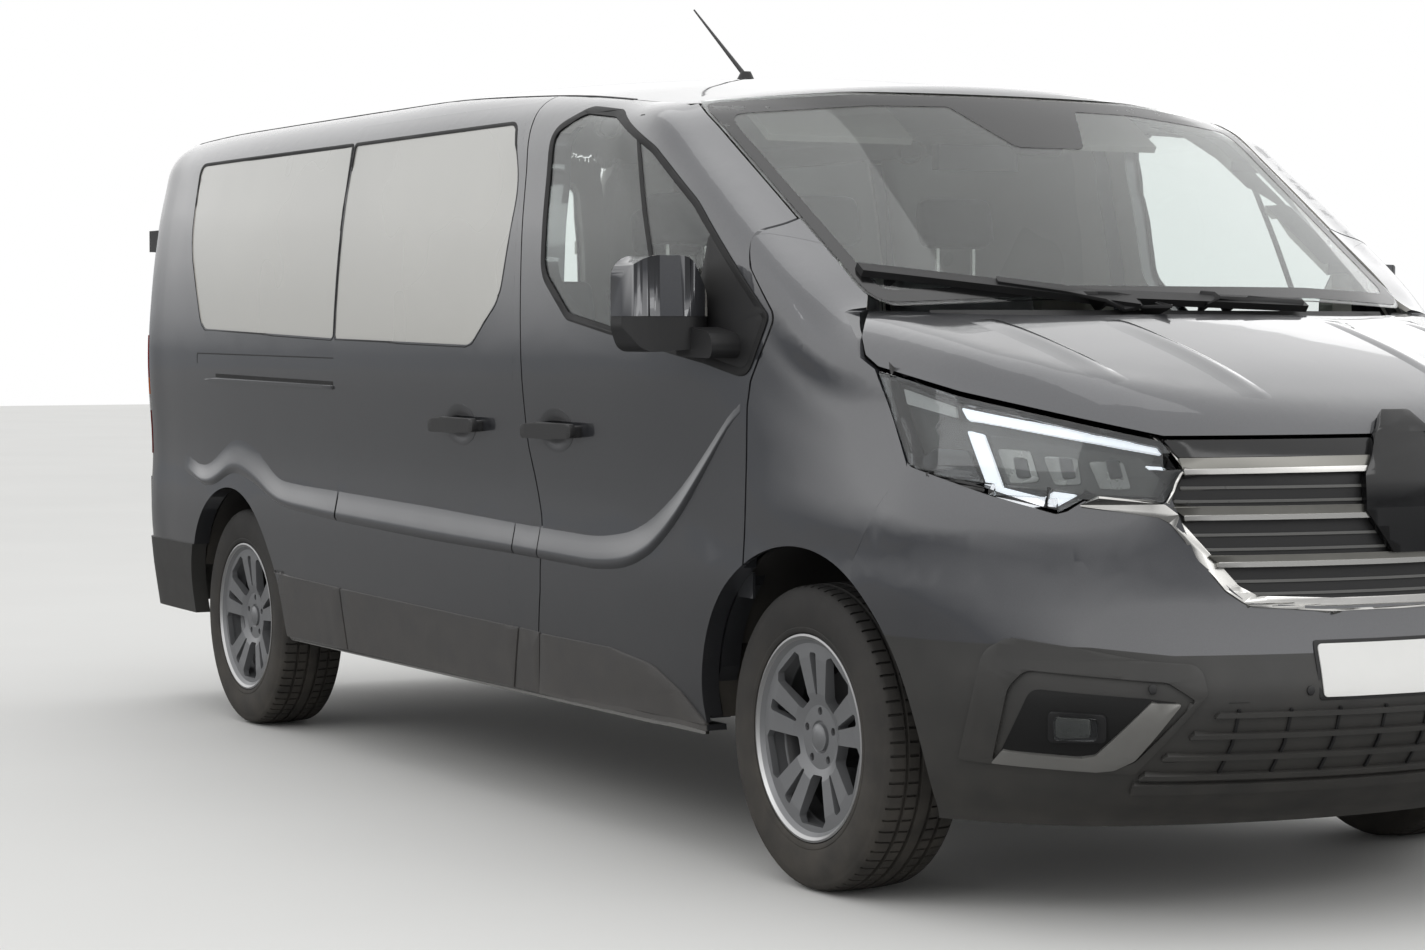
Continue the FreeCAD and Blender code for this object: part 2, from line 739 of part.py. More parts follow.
# External hinges: a strap on each rear corner, and a leaf on the door, on one upright axis
hinge_x = -2715.0
hinge_y = 868.0
hinge_radius = 11.0
pin_radius = 5.0
hinge_heights = (720.0, 1560.0)
corner_inside = layer(side_hits, -seat_gap, 300)
straps = []
for z in hinge_heights:
    pin = V(hinge_x, hinge_y, z - 36)
    strap = box(hinge_x + hinge_radius + seat_gap, -2560, 858, 902, z - 36, z + 36)
    strap = strap.cut(corner_inside)
    for z0 in (z - 36, z + 12.3):
        strap = strap.fuse([Part.makeCylinder(hinge_radius, 23.7, V(hinge_x, hinge_y, z0)),
                            box(hinge_x, hinge_x + 18, 859, 879, z0, z0 + 23.7)])
    strap = strap.fuse(Part.makeCylinder(pin_radius, 72, pin))
    straps.append(strap)
    surface = cast(body, V(-2300, 790, z), V(-1, 0, 0)).x
    leaf = box(hinge_x - 9, hinge_x + 9, 776, hinge_y, z - 12, z + 12)
    leaf = leaf.fuse([box(hinge_x - 9, surface + 6, 740, 792, z - 24, z + 24),
                      Part.makeCylinder(hinge_radius, 24, V(hinge_x, hinge_y, z - 12))])
    bore = Part.makeCylinder(pin_radius + running_clearance, 24, V(hinge_x, hinge_y, z - 12))
    rear_leaf = rear_leaf.fuse(leaf.cut(bore))
keep("rear_door_hinges", both_sides(Part.makeCompound(straps)))
keep("rear_door_left", rear_leaf)
keep("rear_door_right", mirrored(rear_leaf))
keep("rear_glass_left", rear_pane)
keep("rear_glass_right", mirrored(rear_pane))


def rear_bumper_body(x, y, z):
    side = abs(y) - half_body(x, z) - 6
    return round_corner(side, tail_x(y, z) - 38 - x, 150.0)


def rear_bumper_rays():
    core_x = -2500.0
    core_y = 720.0
    path = [(x, core_y, 90.0) for x in spread(-2020.0, core_x, 6)]
    path += [(core_x, core_y, turn) for turn in (105, 120, 135, 150, 165)]
    path += [(core_x, y, 180.0) for y in spread(core_y, 0.0, 5)]
    path += [(x, -y, -turn) for x, y, turn in reversed(path[:-1])]
    rays = []
    for x, y, turn in path:
        angle = math.radians(turn)
        out = V(math.cos(angle), math.sin(angle), 0)
        rays.append([(V(x, y, z), out) for z in spread(sill_bottom - 10, bumper_top_rear, 6)])
    return rays


rear_bumper = layer(cast_all(rear_bumper_body, rear_bumper_rays()), 0, 50)
rear_bumper = rear_bumper.cut(rear_arch).cut(mirrored(rear_arch))
keep("rear_bumper", rear_bumper)

tail_lamp_line = [(852, 840, 10), (1000, 840, 1), (1000, 1240, 1), (850, 1240, 14)]
tail_lamp_zone = prism(tail_lamp_line, from_front, V(300, 0, 0), 0, V(-2850, 0, 0))
tail_lamp_zone = tail_lamp_zone.common(box(-2850, -2585, 0, 1100, 0, 2000))
tail_lamp = layer(side_hits, -3, 30).common(tail_lamp_zone)
keep("tail_lamps", both_sides(tail_lamp))
body_side_left = body_side_left.cut(tail_lamp)
body_side_right = body_side_right.cut(mirrored(tail_lamp))
keep("body_side_left", body_side_left)
keep("body_side_right", body_side_right)

# Floor, wheel housings, bulkhead and chassis rails
outside_side = layer(side_hits, -300, side_thickness + seat_gap)
outside_side = outside_side.fuse(frame_posts(seat_gap))
floor_bottom = floor_top - floor_thickness
floor_front_x = 1395.0
floor_pan = box(-2640, floor_front_x, -1000, 1000, floor_bottom, floor_top)
rail_y = 395.0
rail = box(-2560, 2480, rail_y - 35, rail_y + 35, 440, floor_bottom)
sill = box(-1340, 1290, 800, 905, 345, floor_bottom)
jack_pad = box(-1245, -1155, 815, 870, 305, 346)
sill = sill.fuse(jack_pad)
floor_pan = floor_pan.fuse([rail, mirrored(rail), sill, mirrored(sill)])
toe_board = prism([(floor_front_x, floor_bottom, 0), (floor_front_x, floor_top, 0),
                   (1420, floor_top, 20), (1560, 760, 30), (1560, 1240, 0), (1585, 1240, 0),
                   (1585, 752, 30), (1440, floor_bottom, 0)], from_side, V(0, 1640, 0), 0,
                  V(0, -820, 0))


def wheel_house(axle_x, radius, inner_y, bottom, wall):
    """Curved housing over one wheel, and the block of space that it takes up."""
    block = cylinder_y(axle_x, tyre_radius, radius + wall, inner_y - wall, 905)
    block = block.cut(box(axle_x - 700, axle_x + 700, 0, far, -300, bottom))
    space = cylinder_y(axle_x, tyre_radius, radius, inner_y, far)
    return block.cut(space).cut(outside_side), block.fuse(space)


house_wall = 8.0
front_house, front_block = wheel_house(front_axle_x, front_arch_radius + 8, 438.0,
                                       floor_bottom, house_wall)
rear_house, rear_block = wheel_house(rear_axle_x, rear_arch_radius + 4, 646.0,
                                     floor_top - 60, house_wall)
for block in (front_block, rear_block, outside_side):
    floor_pan = floor_pan.cut(block).cut(mirrored(block))
    toe_board = toe_board.cut(block).cut(mirrored(block))
rails = rail.fuse(mirrored(rail))
wheel_housings = Part.makeCompound([front_house.cut(rails), mirrored(front_house.cut(rails)),
                                    rear_house, mirrored(rear_house)])

# Shelf that carries the scuttle panel, with two rubber stops that the bonnet rests on
shelf_top = scuttle_panel.optimalBoundingBox(False, False).ZMin - seat_gap
shelf_front_x = 1950.0
shelf_half = 640.0
stop_y = 600.0
stop_radius = 9.0
shelf = box(1570, shelf_front_x, -shelf_half, shelf_half, shelf_top - 18, shelf_top)
bonnet_space = layer(bonnet_hits, 0, bonnet_thickness + seat_gap)
stop = Part.makeCylinder(stop_radius, 60, V(shelf_front_x - 35, stop_y, shelf_top - 2))
stop = min(stop.cut(bonnet_space).Solids, key=lambda solid: solid.CenterOfMass.z)
toe_board = toe_board.fuse([shelf, stop, mirrored(stop)])
keep("toe_board", toe_board)
keep("wheel_housings", wheel_housings)
tow_beam = box(-2630, -2560, -520, 520, 400, floor_top - floor_thickness)
for hole_y in (-350, 350):
    for hole_z in (430, 490):
        tow_beam = tow_beam.cut(Part.makeCylinder(6.5, 90, V(-2640, hole_y, hole_z), V(1, 0, 0)))
crash_beam = box(2440, 2500, -560, 560, 440, 520)
crash_beam = crash_beam.cut(Part.makeCylinder(10, 60, V(2440, 480, 480), V(1, 0, 0)))
floor_pan = floor_pan.fuse([tow_beam, crash_beam])
keep("floor_pan", floor_pan)


# Wheels
def rim(sign_y, x, track):
    """Alloy wheel with paired spokes, its hub and its brake disc, outboard side +Y."""
    barrel = [(100, rim_radius), (94, rim_radius - 1), (90, 219), (45, 212), (12, 196),
              (-38, 196), (-68, 216), (-90, 219), (-94, rim_radius - 1), (-100, rim_radius),
              (-101, 226), (-92, 212), (-66, 208), (-36, 188), (8, 188), (40, 204),
              (84, 210), (96, 222), (101, 228)]
    ring = Part.Face(Part.makePolygon([V(r, a, 0) for a, r in barrel + barrel[:1]]))
    ring = ring.revolve(V(0, 0, 0), V(0, 1, 0), 360)
    face_profile = [(0, 62), (34, 62), (38, 66), (72, 66), (100, 76), (180, 86), (213, 86),
                    (213, 72), (180, 66), (100, 50), (72, 36), (72, -14), (0, -14)]
    face = Part.Face(Part.makePolygon([V(r, a, 0) for r, a in face_profile + face_profile[:1]]))
    face = face.revolve(V(0, 0, 0), V(0, 1, 0), 360)
    cuts = []
    step = 360.0 / spoke_groups
    for i in range(spoke_groups):
        middle = math.radians(90 + i * step)
        gap = middle + math.radians(step / 2)
        cuts.append(window_cut(gap, [(88, 13), (190, 17.5), (202, 13), (202, -13),
                                     (190, -17.5), (88, -13)]))
        cuts.append(window_cut(middle, [(96, 2.2), (192, 4.2), (192, -4.2), (96, -2.2)]))
    for i in range(bolt_count):
        turn = math.radians(90 + i * 360.0 / bolt_count)
        centre = V(bolt_circle / 2 * math.cos(turn), 40, bolt_circle / 2 * math.sin(turn))
        cuts.append(Part.makeCylinder(9.0, 60, centre, V(0, 1, 0)))
    face = face.cut(cuts)
    disc = Part.makeCylinder(148, 24, V(0, -38, 0), V(0, 1, 0))
    hub = Part.makeCylinder(72, 60, V(0, -38, 0), V(0, 1, 0))
    bore = Part.makeCylinder(spindle_radius + running_clearance, 70, V(0, -40, 0), V(0, 1, 0))
    whole = ring.fuse([face, hub, disc]).cut(bore)
    if sign_y < 0:
        whole = mirrored(whole)
    whole.translate(V(x, sign_y * track / 2, tyre_radius))
    return whole


def window_cut(angle, polar):
    """Prism through the wheel face from points given as radius and degrees off centre."""
    points = []
    for radius, degrees in polar:
        turn = angle + math.radians(degrees)
        points.append((radius * math.cos(turn), radius * math.sin(turn), 7))
    return prism(points, from_side, V(0, 140, 0), 0, V(0, 20, 0))


def tyre(sign_y, x, track):
    half = tyre_width / 2
    bead = 219.3
    lip = rim_radius + 3
    crown = Part.BSplineCurve()
    crown.interpolate([V(lip, -101.5, 0), V(290, -half, 0), V(330, -half + 9, 0),
                       V(tyre_radius - 3, -half + 32, 0), V(tyre_radius, 0, 0),
                       V(tyre_radius - 3, half - 32, 0), V(330, half - 9, 0),
                       V(290, half, 0), V(lip, 101.5, 0)])
    inner = [V(lip, 101.5, 0), V(rim_radius + 0.5, 93.5, 0), V(bead, 89.5, 0),
             V(bead + 4, 80, 0), V(280, 92, 0), V(318, 78, 0), V(330, 40, 0),
             V(331, -40, 0), V(318, -78, 0), V(280, -92, 0), V(bead + 4, -80, 0),
             V(bead, -89.5, 0), V(rim_radius + 0.5, -93.5, 0), V(lip, -101.5, 0)]
    edges = [crown.toShape()]
    for a, b in zip(inner, inner[1:]):
        edges.append(Part.LineSegment(a, b).toShape())
    solid = Part.Face(Part.Wire(edges)).revolve(V(0, 0, 0), V(0, 1, 0), 360)
    solid.translate(V(x, sign_y * track / 2, tyre_radius))
    return solid


corners = [("front_left", 1, front_axle_x, front_track),
           ("front_right", -1, front_axle_x, front_track),
           ("rear_left", 1, rear_axle_x, rear_track),
           ("rear_right", -1, rear_axle_x, rear_track)]
for corner, sign, axle_x, track in corners:
    keep("wheel_" + corner, rim(sign, axle_x, track))
    solid = tyre(sign, axle_x, track)
    keep("tyre_" + corner, solid)


# Knuckles with their struts, and the subframe that carries them
def knuckle():
    """Left hub carrier: spindle, upright and strut on the steering axis."""
    hub_y = front_track / 2
    spindle = cylinder_y(front_axle_x, tyre_radius, spindle_radius, kingpin_y, hub_y + 28)
    carrier = cylinder_y(front_axle_x, tyre_radius, 62, kingpin_y - 20, hub_y - 42)
    upright = box(front_axle_x - 32, front_axle_x + 32, kingpin_y - 26, kingpin_y + 26,
                  204.3, 520)
    strut_radius = 26.0
    tower = tyre_radius + math.sqrt((front_arch_radius + 8) ** 2 - strut_radius ** 2) - seat_gap
    strut = Part.makeCylinder(strut_radius, tower - 440, V(front_axle_x, kingpin_y, 440))
    spring = Part.makeCylinder(62, 12, V(front_axle_x, kingpin_y, 700))
    arm = box(front_axle_x - 150, front_axle_x, kingpin_y - 12, kingpin_y + 12, 300, 330)
    return spindle.fuse([carrier, upright, strut, spring, arm])


left_knuckle = knuckle()
keep("knuckle_left", left_knuckle)
keep("knuckle_right", mirrored(left_knuckle))


def subframe():
    cross = box(front_axle_x - 190, front_axle_x + 40, -395, 395, 215, 275)
    arm_plan = [(front_axle_x - 160, 330, 5), (front_axle_x - 30, kingpin_y, 20),
                (front_axle_x + 30, kingpin_y, 20), (front_axle_x + 30, 330, 5)]
    lower_arm = prism(arm_plan, from_above, V(0, 0, 26), 0, V(0, 0, 178))
    end = Part.makeCylinder(38, 26, V(front_axle_x, kingpin_y, 178))
    leg = box(front_axle_x - 190, front_axle_x - 110, 345, 395, 204, 440)
    leg_front = box(front_axle_x - 40, front_axle_x + 40, 345, 395, 204, 440)
    half = lower_arm.fuse([end, leg, leg_front])
    return cross.fuse([half, mirrored(half)])


keep("front_subframe", subframe())

# Engine and gearbox as one plain block, seated on the subframe
keep("engine_block", box(front_axle_x - 120, front_axle_x + 380, -330, 330, 275, 980))

# Rear axle beam with trailing arms and spindles
beam = cylinder_y(rear_axle_x + 180, 330, 45, -640, 640)
half_axle = box(rear_axle_x - 20, rear_axle_x + 520, 560, 620, 300, 380)
half_axle = half_axle.fuse([
    cylinder_y(rear_axle_x, tyre_radius, spindle_radius, 600, rear_track / 2 + 28),
    cylinder_y(rear_axle_x, tyre_radius, 60, 560, rear_track / 2 - 42),
    box(rear_axle_x + 430, rear_axle_x + 520, 560, 620, 380, floor_top - floor_thickness)])
keep("rear_axle", beam.fuse([half_axle, mirrored(half_axle)]))


# Interior
def rounded_box(x0, x1, y0, y1, z0, z1, radius):
    solid = box(x0, x1, y0, y1, z0, z1)
    return solid.makeFillet(radius, solid.Edges)


def seat(x, y, width, z_floor):
    """Seat with its pedestal, cushion, back and head restraint; x is the cushion's rear."""
    half = width / 2
    pedestal = box(x + 60, x + 420, y - half + 60, y + half - 60, z_floor, z_floor + 200)
    cushion = rounded_box(x, x + 520, y - half, y + half, z_floor + 200, z_floor + 330, 45)
    back = rounded_box(x - 110, x + 40, y - half + 5, y + half - 5, z_floor + 290,
                       z_floor + 900, 50)
    back.rotate(V(x, y, z_floor + 300), V(0, 1, 0), -14)
    head = rounded_box(x - 245, x - 145, y - 130, y + 130, z_floor + 925, z_floor + 1090, 35)
    posts = box(x - 205, x - 190, y - 60, y + 60, z_floor + 850, z_floor + 950)
    return pedestal.fuse([cushion, back, posts, head])


outer_seat = seat(480.0, 430.0, 500.0, floor_top)
middle_seat = seat(480.0, -10.0, 330.0, floor_top).cut(box(-500, 1200, -181, -178, 0, 2000))
keep("front_seats", outer_seat.fuse([mirrored(outer_seat), middle_seat]))
bench = seat(-560.0, 560.0, 470.0, floor_top)
bench = bench.fuse([seat(-560.0, 70.0, 470.0, floor_top), seat(-560.0, -420.0, 470.0,
                                                              floor_top)])
keep("rear_bench", bench)

dash_section = [(1290, 860, 40), (1250, 1010, 40), (1270, 1130, 50), (1400, 1195, 60),
                (1560, 1215, 5), (1560, 800, 5), (1400, 790, 30)]
dashboard = prism(dash_section, from_side, V(0, 1600, 0), 0, V(0, -800, 0))
wheel_centre = V(1010, 430, 1140)
column_way = V(-math.cos(math.radians(steering_wheel_tilt)), 0,
               math.sin(math.radians(steering_wheel_tilt)))
column = Part.makeCylinder(34, 330, wheel_centre - column_way * 370.3, column_way)
dashboard = dashboard.fuse(column)
keep("dashboard", dashboard)

steer_ring = Part.makeTorus(steering_wheel_radius - 15, 15, wheel_centre, column_way)
hub = Part.makeCylinder(62, 40, wheel_centre - column_way * 40, column_way)
spokes = box(-175, 175, -18, 18, -22, -6).fuse(box(-18, 18, -175, 0, -22, -6))
spokes.rotate(V(0, 0, 0), V(0, 0, 1), 90)
spokes.rotate(V(0, 0, 0), V(0, 1, 0), steering_wheel_tilt - 90)
spokes.translate(wheel_centre)
keep("steering_wheel", steer_ring.fuse([hub, spokes]))


# Wipers and aerial
def wiper(y_start, y_end, z_start, z_end):
    rows = []
    normal = V(1.0, 0, screen_rake).normalize()
    for offset in (-9.0, 0.0, 9.0):
        row = []
        for t in spread(0.0, 1.0, 9):
            y = y_start + (y_end - y_start) * t
            z = z_start + (z_end - z_start) * t + offset
            row.append((V(screen_x(y, z), y, z) - normal * 220, normal))
        rows.append(row)
    return layer(cast_all(cab_only, rows), -16, glass_recess - 0.3)


keep("wipers", Part.makeCompound([wiper(330, -270, 1308, 1326), wiper(-170, -748, 1310, 1386)]))

aerial_foot = cast(body, V(-150, 0, 1700), V(0, 0, 1))
aerial_way = V(-310, 0, 218).normalize()
roof_run = cast(body, V(-120, 0, 1700), V(0, 0, 1)) - cast(body, V(-180, 0, 1700), V(0, 0, 1))
roof_normal = V(-roof_run.z, 0, roof_run.x).normalize()
base = Part.makeCone(30, 14, 32, aerial_foot + roof_normal * seat_gap, roof_normal)
rod = Part.makeCone(7, 2.5, 375, aerial_foot + V(0, 0, 18), aerial_way)
keep("aerial", base.fuse(rod))

# Write one file for each piece
os.makedirs("parts", exist_ok=True)
for name, shape in nodes.items():
    shape.exportStep("parts/" + name + ".step")
    box_now = shape.BoundBox
    print(name, len(shape.Solids), shape.isValid(), round(shape.Volume / 1e6, 2),
          [round(v) for v in (box_now.XMin, box_now.XMax, box_now.YMin, box_now.YMax,
                              box_now.ZMin, box_now.ZMax)])
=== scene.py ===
import math

import bpy
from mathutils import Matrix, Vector
from mathutils.bvhtree import BVHTree


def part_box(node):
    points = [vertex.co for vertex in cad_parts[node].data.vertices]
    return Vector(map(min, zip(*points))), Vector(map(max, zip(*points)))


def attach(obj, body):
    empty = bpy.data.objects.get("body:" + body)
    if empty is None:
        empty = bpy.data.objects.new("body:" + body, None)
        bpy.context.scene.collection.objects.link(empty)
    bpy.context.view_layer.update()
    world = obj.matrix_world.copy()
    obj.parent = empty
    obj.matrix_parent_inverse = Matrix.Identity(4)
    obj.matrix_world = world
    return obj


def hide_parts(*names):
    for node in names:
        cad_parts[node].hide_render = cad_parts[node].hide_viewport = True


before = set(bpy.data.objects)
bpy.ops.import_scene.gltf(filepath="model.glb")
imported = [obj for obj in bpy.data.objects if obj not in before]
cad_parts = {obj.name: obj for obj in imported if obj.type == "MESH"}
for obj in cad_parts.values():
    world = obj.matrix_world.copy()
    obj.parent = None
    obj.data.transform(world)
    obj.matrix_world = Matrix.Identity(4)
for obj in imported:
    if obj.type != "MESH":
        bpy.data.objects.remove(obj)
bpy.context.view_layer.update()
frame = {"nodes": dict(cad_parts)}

# Camera and stage
# The camera stands at eye level in front of the van's right corner, with a long lens.
# The floor is a plain pale sheet and the light comes from wide soft panels overhead.
yaw = math.radians(150.992)
pitch = math.radians(-2.576)
bpy.ops.object.select_all(action="DESELECT")
bpy.ops.object.camera_add(location=(7.806, -4.52, 1.251))
camera = bpy.context.object
look = Vector((math.cos(yaw) * math.cos(pitch), math.sin(yaw) * math.cos(pitch), math.sin(pitch)))
camera.rotation_euler = look.to_track_quat("-Z", "Y").to_euler()
camera.data.lens = 80.39
camera.data.sensor_width = 36.0
bpy.context.scene.camera = camera
bpy.context.scene.view_settings.view_transform = "Standard"


def shade(r, g, b):
    """A colour written as it looks on screen, 0 to 255, turned into light values."""
    def one(v):
        v /= 255.0
        return v / 12.92 if v <= 0.04045 else ((v + 0.055) / 1.055) ** 2.4
    return (one(r), one(g), one(b), 1.0)


def new_material(name):
    material = bpy.data.materials.new(name)
    material.use_nodes = True
    return material, material.node_tree, material.node_tree.nodes["Principled BSDF"]


def feed(node, values):
    """Sets a node's inputs: a (node, output) pair is linked, anything else is a plain value."""
    for socket, value in values.items():
        if isinstance(value, tuple) and isinstance(value[0], bpy.types.Node):
            node.id_data.links.new(value[0].outputs[value[1]], node.inputs[socket])
        else:
            node.inputs[socket].default_value = value


def add_node(tree, kind, values=None, **settings):
    node = tree.nodes.new("ShaderNode" + kind)
    for key, value in settings.items():
        setattr(node, key, value)
    feed(node, values or {})
    return node


def place_in(tree):
    """The place of each point on the piece, in metres."""
    return add_node(tree, "TexCoord"), "Object"


def mix_colour(tree, factor, first, second):
    return add_node(tree, "Mix", {0: factor, 6: first, 7: second}, data_type="RGBA"), 2


def colour_ramp(tree, source, stops, interpolation="LINEAR"):
    """Colours by a value from 0 to 1, with the stops in rising order."""
    node = add_node(tree, "ValToRGB", {"Fac": source})
    node.color_ramp.interpolation = interpolation
    elements = node.color_ramp.elements
    for i, (position, colour) in enumerate(stops):
        if i > 1:
            elements.new(position)
        elements[i].position = position
        elements[i].color = shade(*colour)
    return node, "Color"


bpy.ops.mesh.primitive_plane_add(size=90)
floor = bpy.context.object
floor.name = "floor"
floor_material, tree, shader = new_material("pale_floor")
noise = add_node(tree, "TexNoise", {"Vector": place_in(tree), "Scale": 0.6, "Detail": 3.0})
sheet_tone = colour_ramp(tree, (noise, "Fac"), ((0.0, (222, 222, 220)), (1.0, (230, 230, 228))))
ray = add_node(tree, "LightPath")
# Paint and metal mirror a darker floor than the camera sees
sheet = mix_colour(tree, (ray, "Is Glossy Ray"), sheet_tone, shade(112, 112, 112))
feed(shader, {"Base Color": sheet, "Roughness": 0.75})
floor.data.materials.append(floor_material)

# The camera and what shines through glass see plain white. The light comes from a ramp that
# is grey at the horizon, and paint and metal mirror it a little brighter
world = bpy.data.worlds.new("studio")
bpy.context.scene.world = world
world.use_nodes = True
tree = world.node_tree
ray = add_node(tree, "LightPath")
up = add_node(tree, "SeparateXYZ", {0: (add_node(tree, "TexCoord"), "Generated")})
sky = colour_ramp(tree, (up, "Z"), ((0.0, (120, 122, 125)), (0.14, (255, 255, 255))))
glow = add_node(tree, "Math", {0: (ray, "Is Glossy Ray"), 1: 0.35, 2: 0.9},
                operation="MULTIPLY_ADD")
background = tree.nodes["Background"]
feed(background, {"Color": sky, "Strength": (glow, 0)})
backdrop = add_node(tree, "Background", {"Color": shade(255, 255, 255)})
direct = add_node(tree, "Math", {0: (ray, "Is Camera Ray"), 1: (ray, "Is Transmission Ray")},
                  operation="MAXIMUM")
choose = add_node(tree, "MixShader", {0: (direct, 0), 1: (background, 0), 2: (backdrop, 0)})
feed(tree.nodes["World Output"], {"Surface": (choose, 0)})

for name, spot, aim, size, power in (
        ("panel_right", (2.5, -7.0, 4.6), (0.6, 0.0, 0.9), (7.0, 2.2), 60.0),
        ("panel_front", (8.5, 1.5, 4.2), (2.0, 0.0, 0.9), (4.0, 2.0), 50.0),
        ("panel_top", (-0.5, 0.0, 6.5), (-0.5, 0.0, 0.0), (8.0, 3.0), 40.0),
        ("panel_left", (-3.0, 7.0, 4.2), (-0.5, 0.0, 1.0), (6.0, 2.0), 30.0)):
    bpy.ops.object.light_add(type="AREA", location=spot)
    lamp = bpy.context.object
    lamp.name = name
    lamp.data.shape = "RECTANGLE"
    lamp.data.size, lamp.data.size_y = size
    lamp.data.energy = power
    lamp.rotation_euler = (Vector(aim) - Vector(spot)).to_track_quat("-Z", "Y").to_euler()

# Body panels
# Pressed steel panels in dark grey metallic paint: a base coat with fine aluminium flake, its
# sparkle a painted glint in the colour, under a clear coat that mirrors the sky. Shut lines are
# the real gaps between the panels.
node = frame["nodes"]


def dress(material, *names):
    """Gives CAD nodes their finish."""
    for name in names:
        node[name].data.materials.clear()
        node[name].data.materials.append(material)


def new_group(name, inputs, outputs):
    """A shared effect, from its inputs' values and its outputs' kinds."""
    group = bpy.data.node_groups.new(name, "ShaderNodeTree")
    for label, value in inputs.items():
        kind = "NodeSocketColor" if isinstance(value, tuple) else "NodeSocketFloat"
        group.interface.new_socket(label, in_out="INPUT", socket_type=kind).default_value = value
    for label, kind in outputs.items():
        group.interface.new_socket(label, in_out="OUTPUT", socket_type="NodeSocket" + kind)
    return group, group.nodes.new("NodeGroupInput"), group.nodes.new("NodeGroupOutput")


# Uneven tone: two depths of a colour mixed by a soft noise, with a value for roughness
uneven, inside, outside = new_group(
    "uneven_tone",
    {"Color": (0.1, 0.1, 0.1, 1), "Second": (0.2, 0.2, 0.2, 1), "Scale": 5.0, "Rough low": 0.4,
     "Rough high": 0.5},
    {"Color": "Color", "Roughness": "Float"})
noise = add_node(uneven, "TexNoise", {"Vector": place_in(uneven), "Scale": (inside, "Scale"),
                                      "Detail": 5.0, "Roughness": 0.6})
span = add_node(uneven, "MapRange", {"Value": (noise, "Fac"), "From Min": 0.25, "From Max": 0.75,
                                     "To Min": (inside, "Rough low"),
                                     "To Max": (inside, "Rough high")})
feed(outside, {"Color": mix_colour(uneven, (noise, "Fac"), (inside, "Color"), (inside, "Second")),
               "Roughness": (span, "Result")})

# Road dust: fades up from the sill, as a factor
dust, inside, outside = new_group("road_dust", {"Top": 0.6, "Amount": 0.3}, {"Factor": "Float"})
split = add_node(dust, "SeparateXYZ", {0: place_in(dust)})
fade = add_node(dust, "MapRange", {"Value": (split, "Z"), "From Min": 0.2,
                                   "From Max": (inside, "Top"), "To Min": 1.0, "To Max": 0.0})
noise = add_node(dust, "TexNoise", {"Vector": place_in(dust), "Scale": 14.0, "Detail": 6.0})
patchy = add_node(dust, "Math", {0: (fade, 0), 1: (noise, 0)}, operation="MULTIPLY")
scaled = add_node(dust, "Math", {0: (patchy, 0), 1: (inside, "Amount")}, operation="MULTIPLY")
feed(outside, {"Factor": (scaled, 0)})


def tone_of(tree, colour, second, scale, low, high):
    """The uneven tone, with the colour as output 0 and the roughness as output 1."""
    return add_node(tree, "Group", {"Color": shade(*colour), "Second": shade(*second),
                                    "Scale": scale, "Rough low": low, "Rough high": high},
                    node_tree=uneven)


# Inner side: a mask of what faces into the van, and the colour of the lining there by height
lining, inside, outside = new_group("inner_side", {}, {"Factor": "Float", "Color": "Color"})
place = add_node(lining, "TexCoord")
away = add_node(lining, "VectorMath", {0: (place, "Object"), 1: (-0.5, 0.0, 1.1)},
                operation="SUBTRACT")
flat = add_node(lining, "VectorMath", {0: (away, 0), 1: (0.3, 1.0, 1.0)}, operation="MULTIPLY")
facing = add_node(lining, "VectorMath", {0: (flat, 0), 1: (place, "Normal")},
                  operation="DOT_PRODUCT")
inward = add_node(lining, "Math", {0: (facing, "Value"), 1: -0.12}, operation="LESS_THAN")
split = add_node(lining, "SeparateXYZ", {0: (place, "Object")})
height = add_node(lining, "MapRange", {"Value": (split, "Z"), "From Min": 0.0, "From Max": 2.0})
layers = colour_ramp(lining, (height, 0), ((0.0, (26, 26, 27)), (0.4, (92, 91, 89)),
                                           (0.6, (186, 184, 178))), "CONSTANT")
feed(outside, {"Factor": (inward, 0), "Color": layers})


def coat_paint(name, colour, second):
    """Metallic paint with a painted flake glint and dust outside, and the lining on the inner
    side.
    """
    material, tree, shader = new_material(name)
    inner = add_node(tree, "Group", node_tree=lining)
    for socket, painted in (("Metallic", 0.55), ("Coat Weight", 1.0)):
        outer_only = add_node(tree, "MapRange", {"Value": (inner, 0), "To Min": painted,
                                                 "To Max": 0.0})
        feed(shader, {socket: (outer_only, 0)})
    # Painted glint: random flake cells lighten the base colour towards a pale grey, a sparkle
    # painted into the colour
    flake = add_node(tree, "TexVoronoi", {"Vector": place_in(tree), "Scale": 1400.0})
    painted_flake_glint = add_node(tree, "MapRange", {"Value": (flake, "Color"), "To Max": 0.1})
    tone = tone_of(tree, colour, second, 1.3, 0.3, 0.36)
    tone_with_painted_glint = mix_colour(tree, (painted_flake_glint, 0), (tone, 0), shade(125, 128, 134))
    dirt = add_node(tree, "Group", {"Top": 0.7, "Amount": 0.16}, node_tree=dust)
    soiled = mix_colour(tree, (dirt, 0), tone_with_painted_glint, shade(120, 114, 104))
    feed(shader, {"Base Color": mix_colour(tree, (inner, 0), soiled, (inner, 1)),
                  "Roughness": (tone, 1), "Coat Roughness": 0.03, "Coat IOR": 1.8})
    return material


paint = coat_paint("body_paint", (50, 51, 55), (56, 57, 61))
dress(paint, "body_side_left", "body_side_right", "sliding_door", "front_fenders", "roof_panel",
      "front_bumper", "cab_door_left", "cab_door_right", "rear_door_left", "rear_door_right",
      "bonnet")

# Headlamps
# Each lamp is a clear polycarbonate lens welded to a dark housing. Inside are a white light
# guide bent like a hook, a side marker, three deep reflector cups and a black louvre.

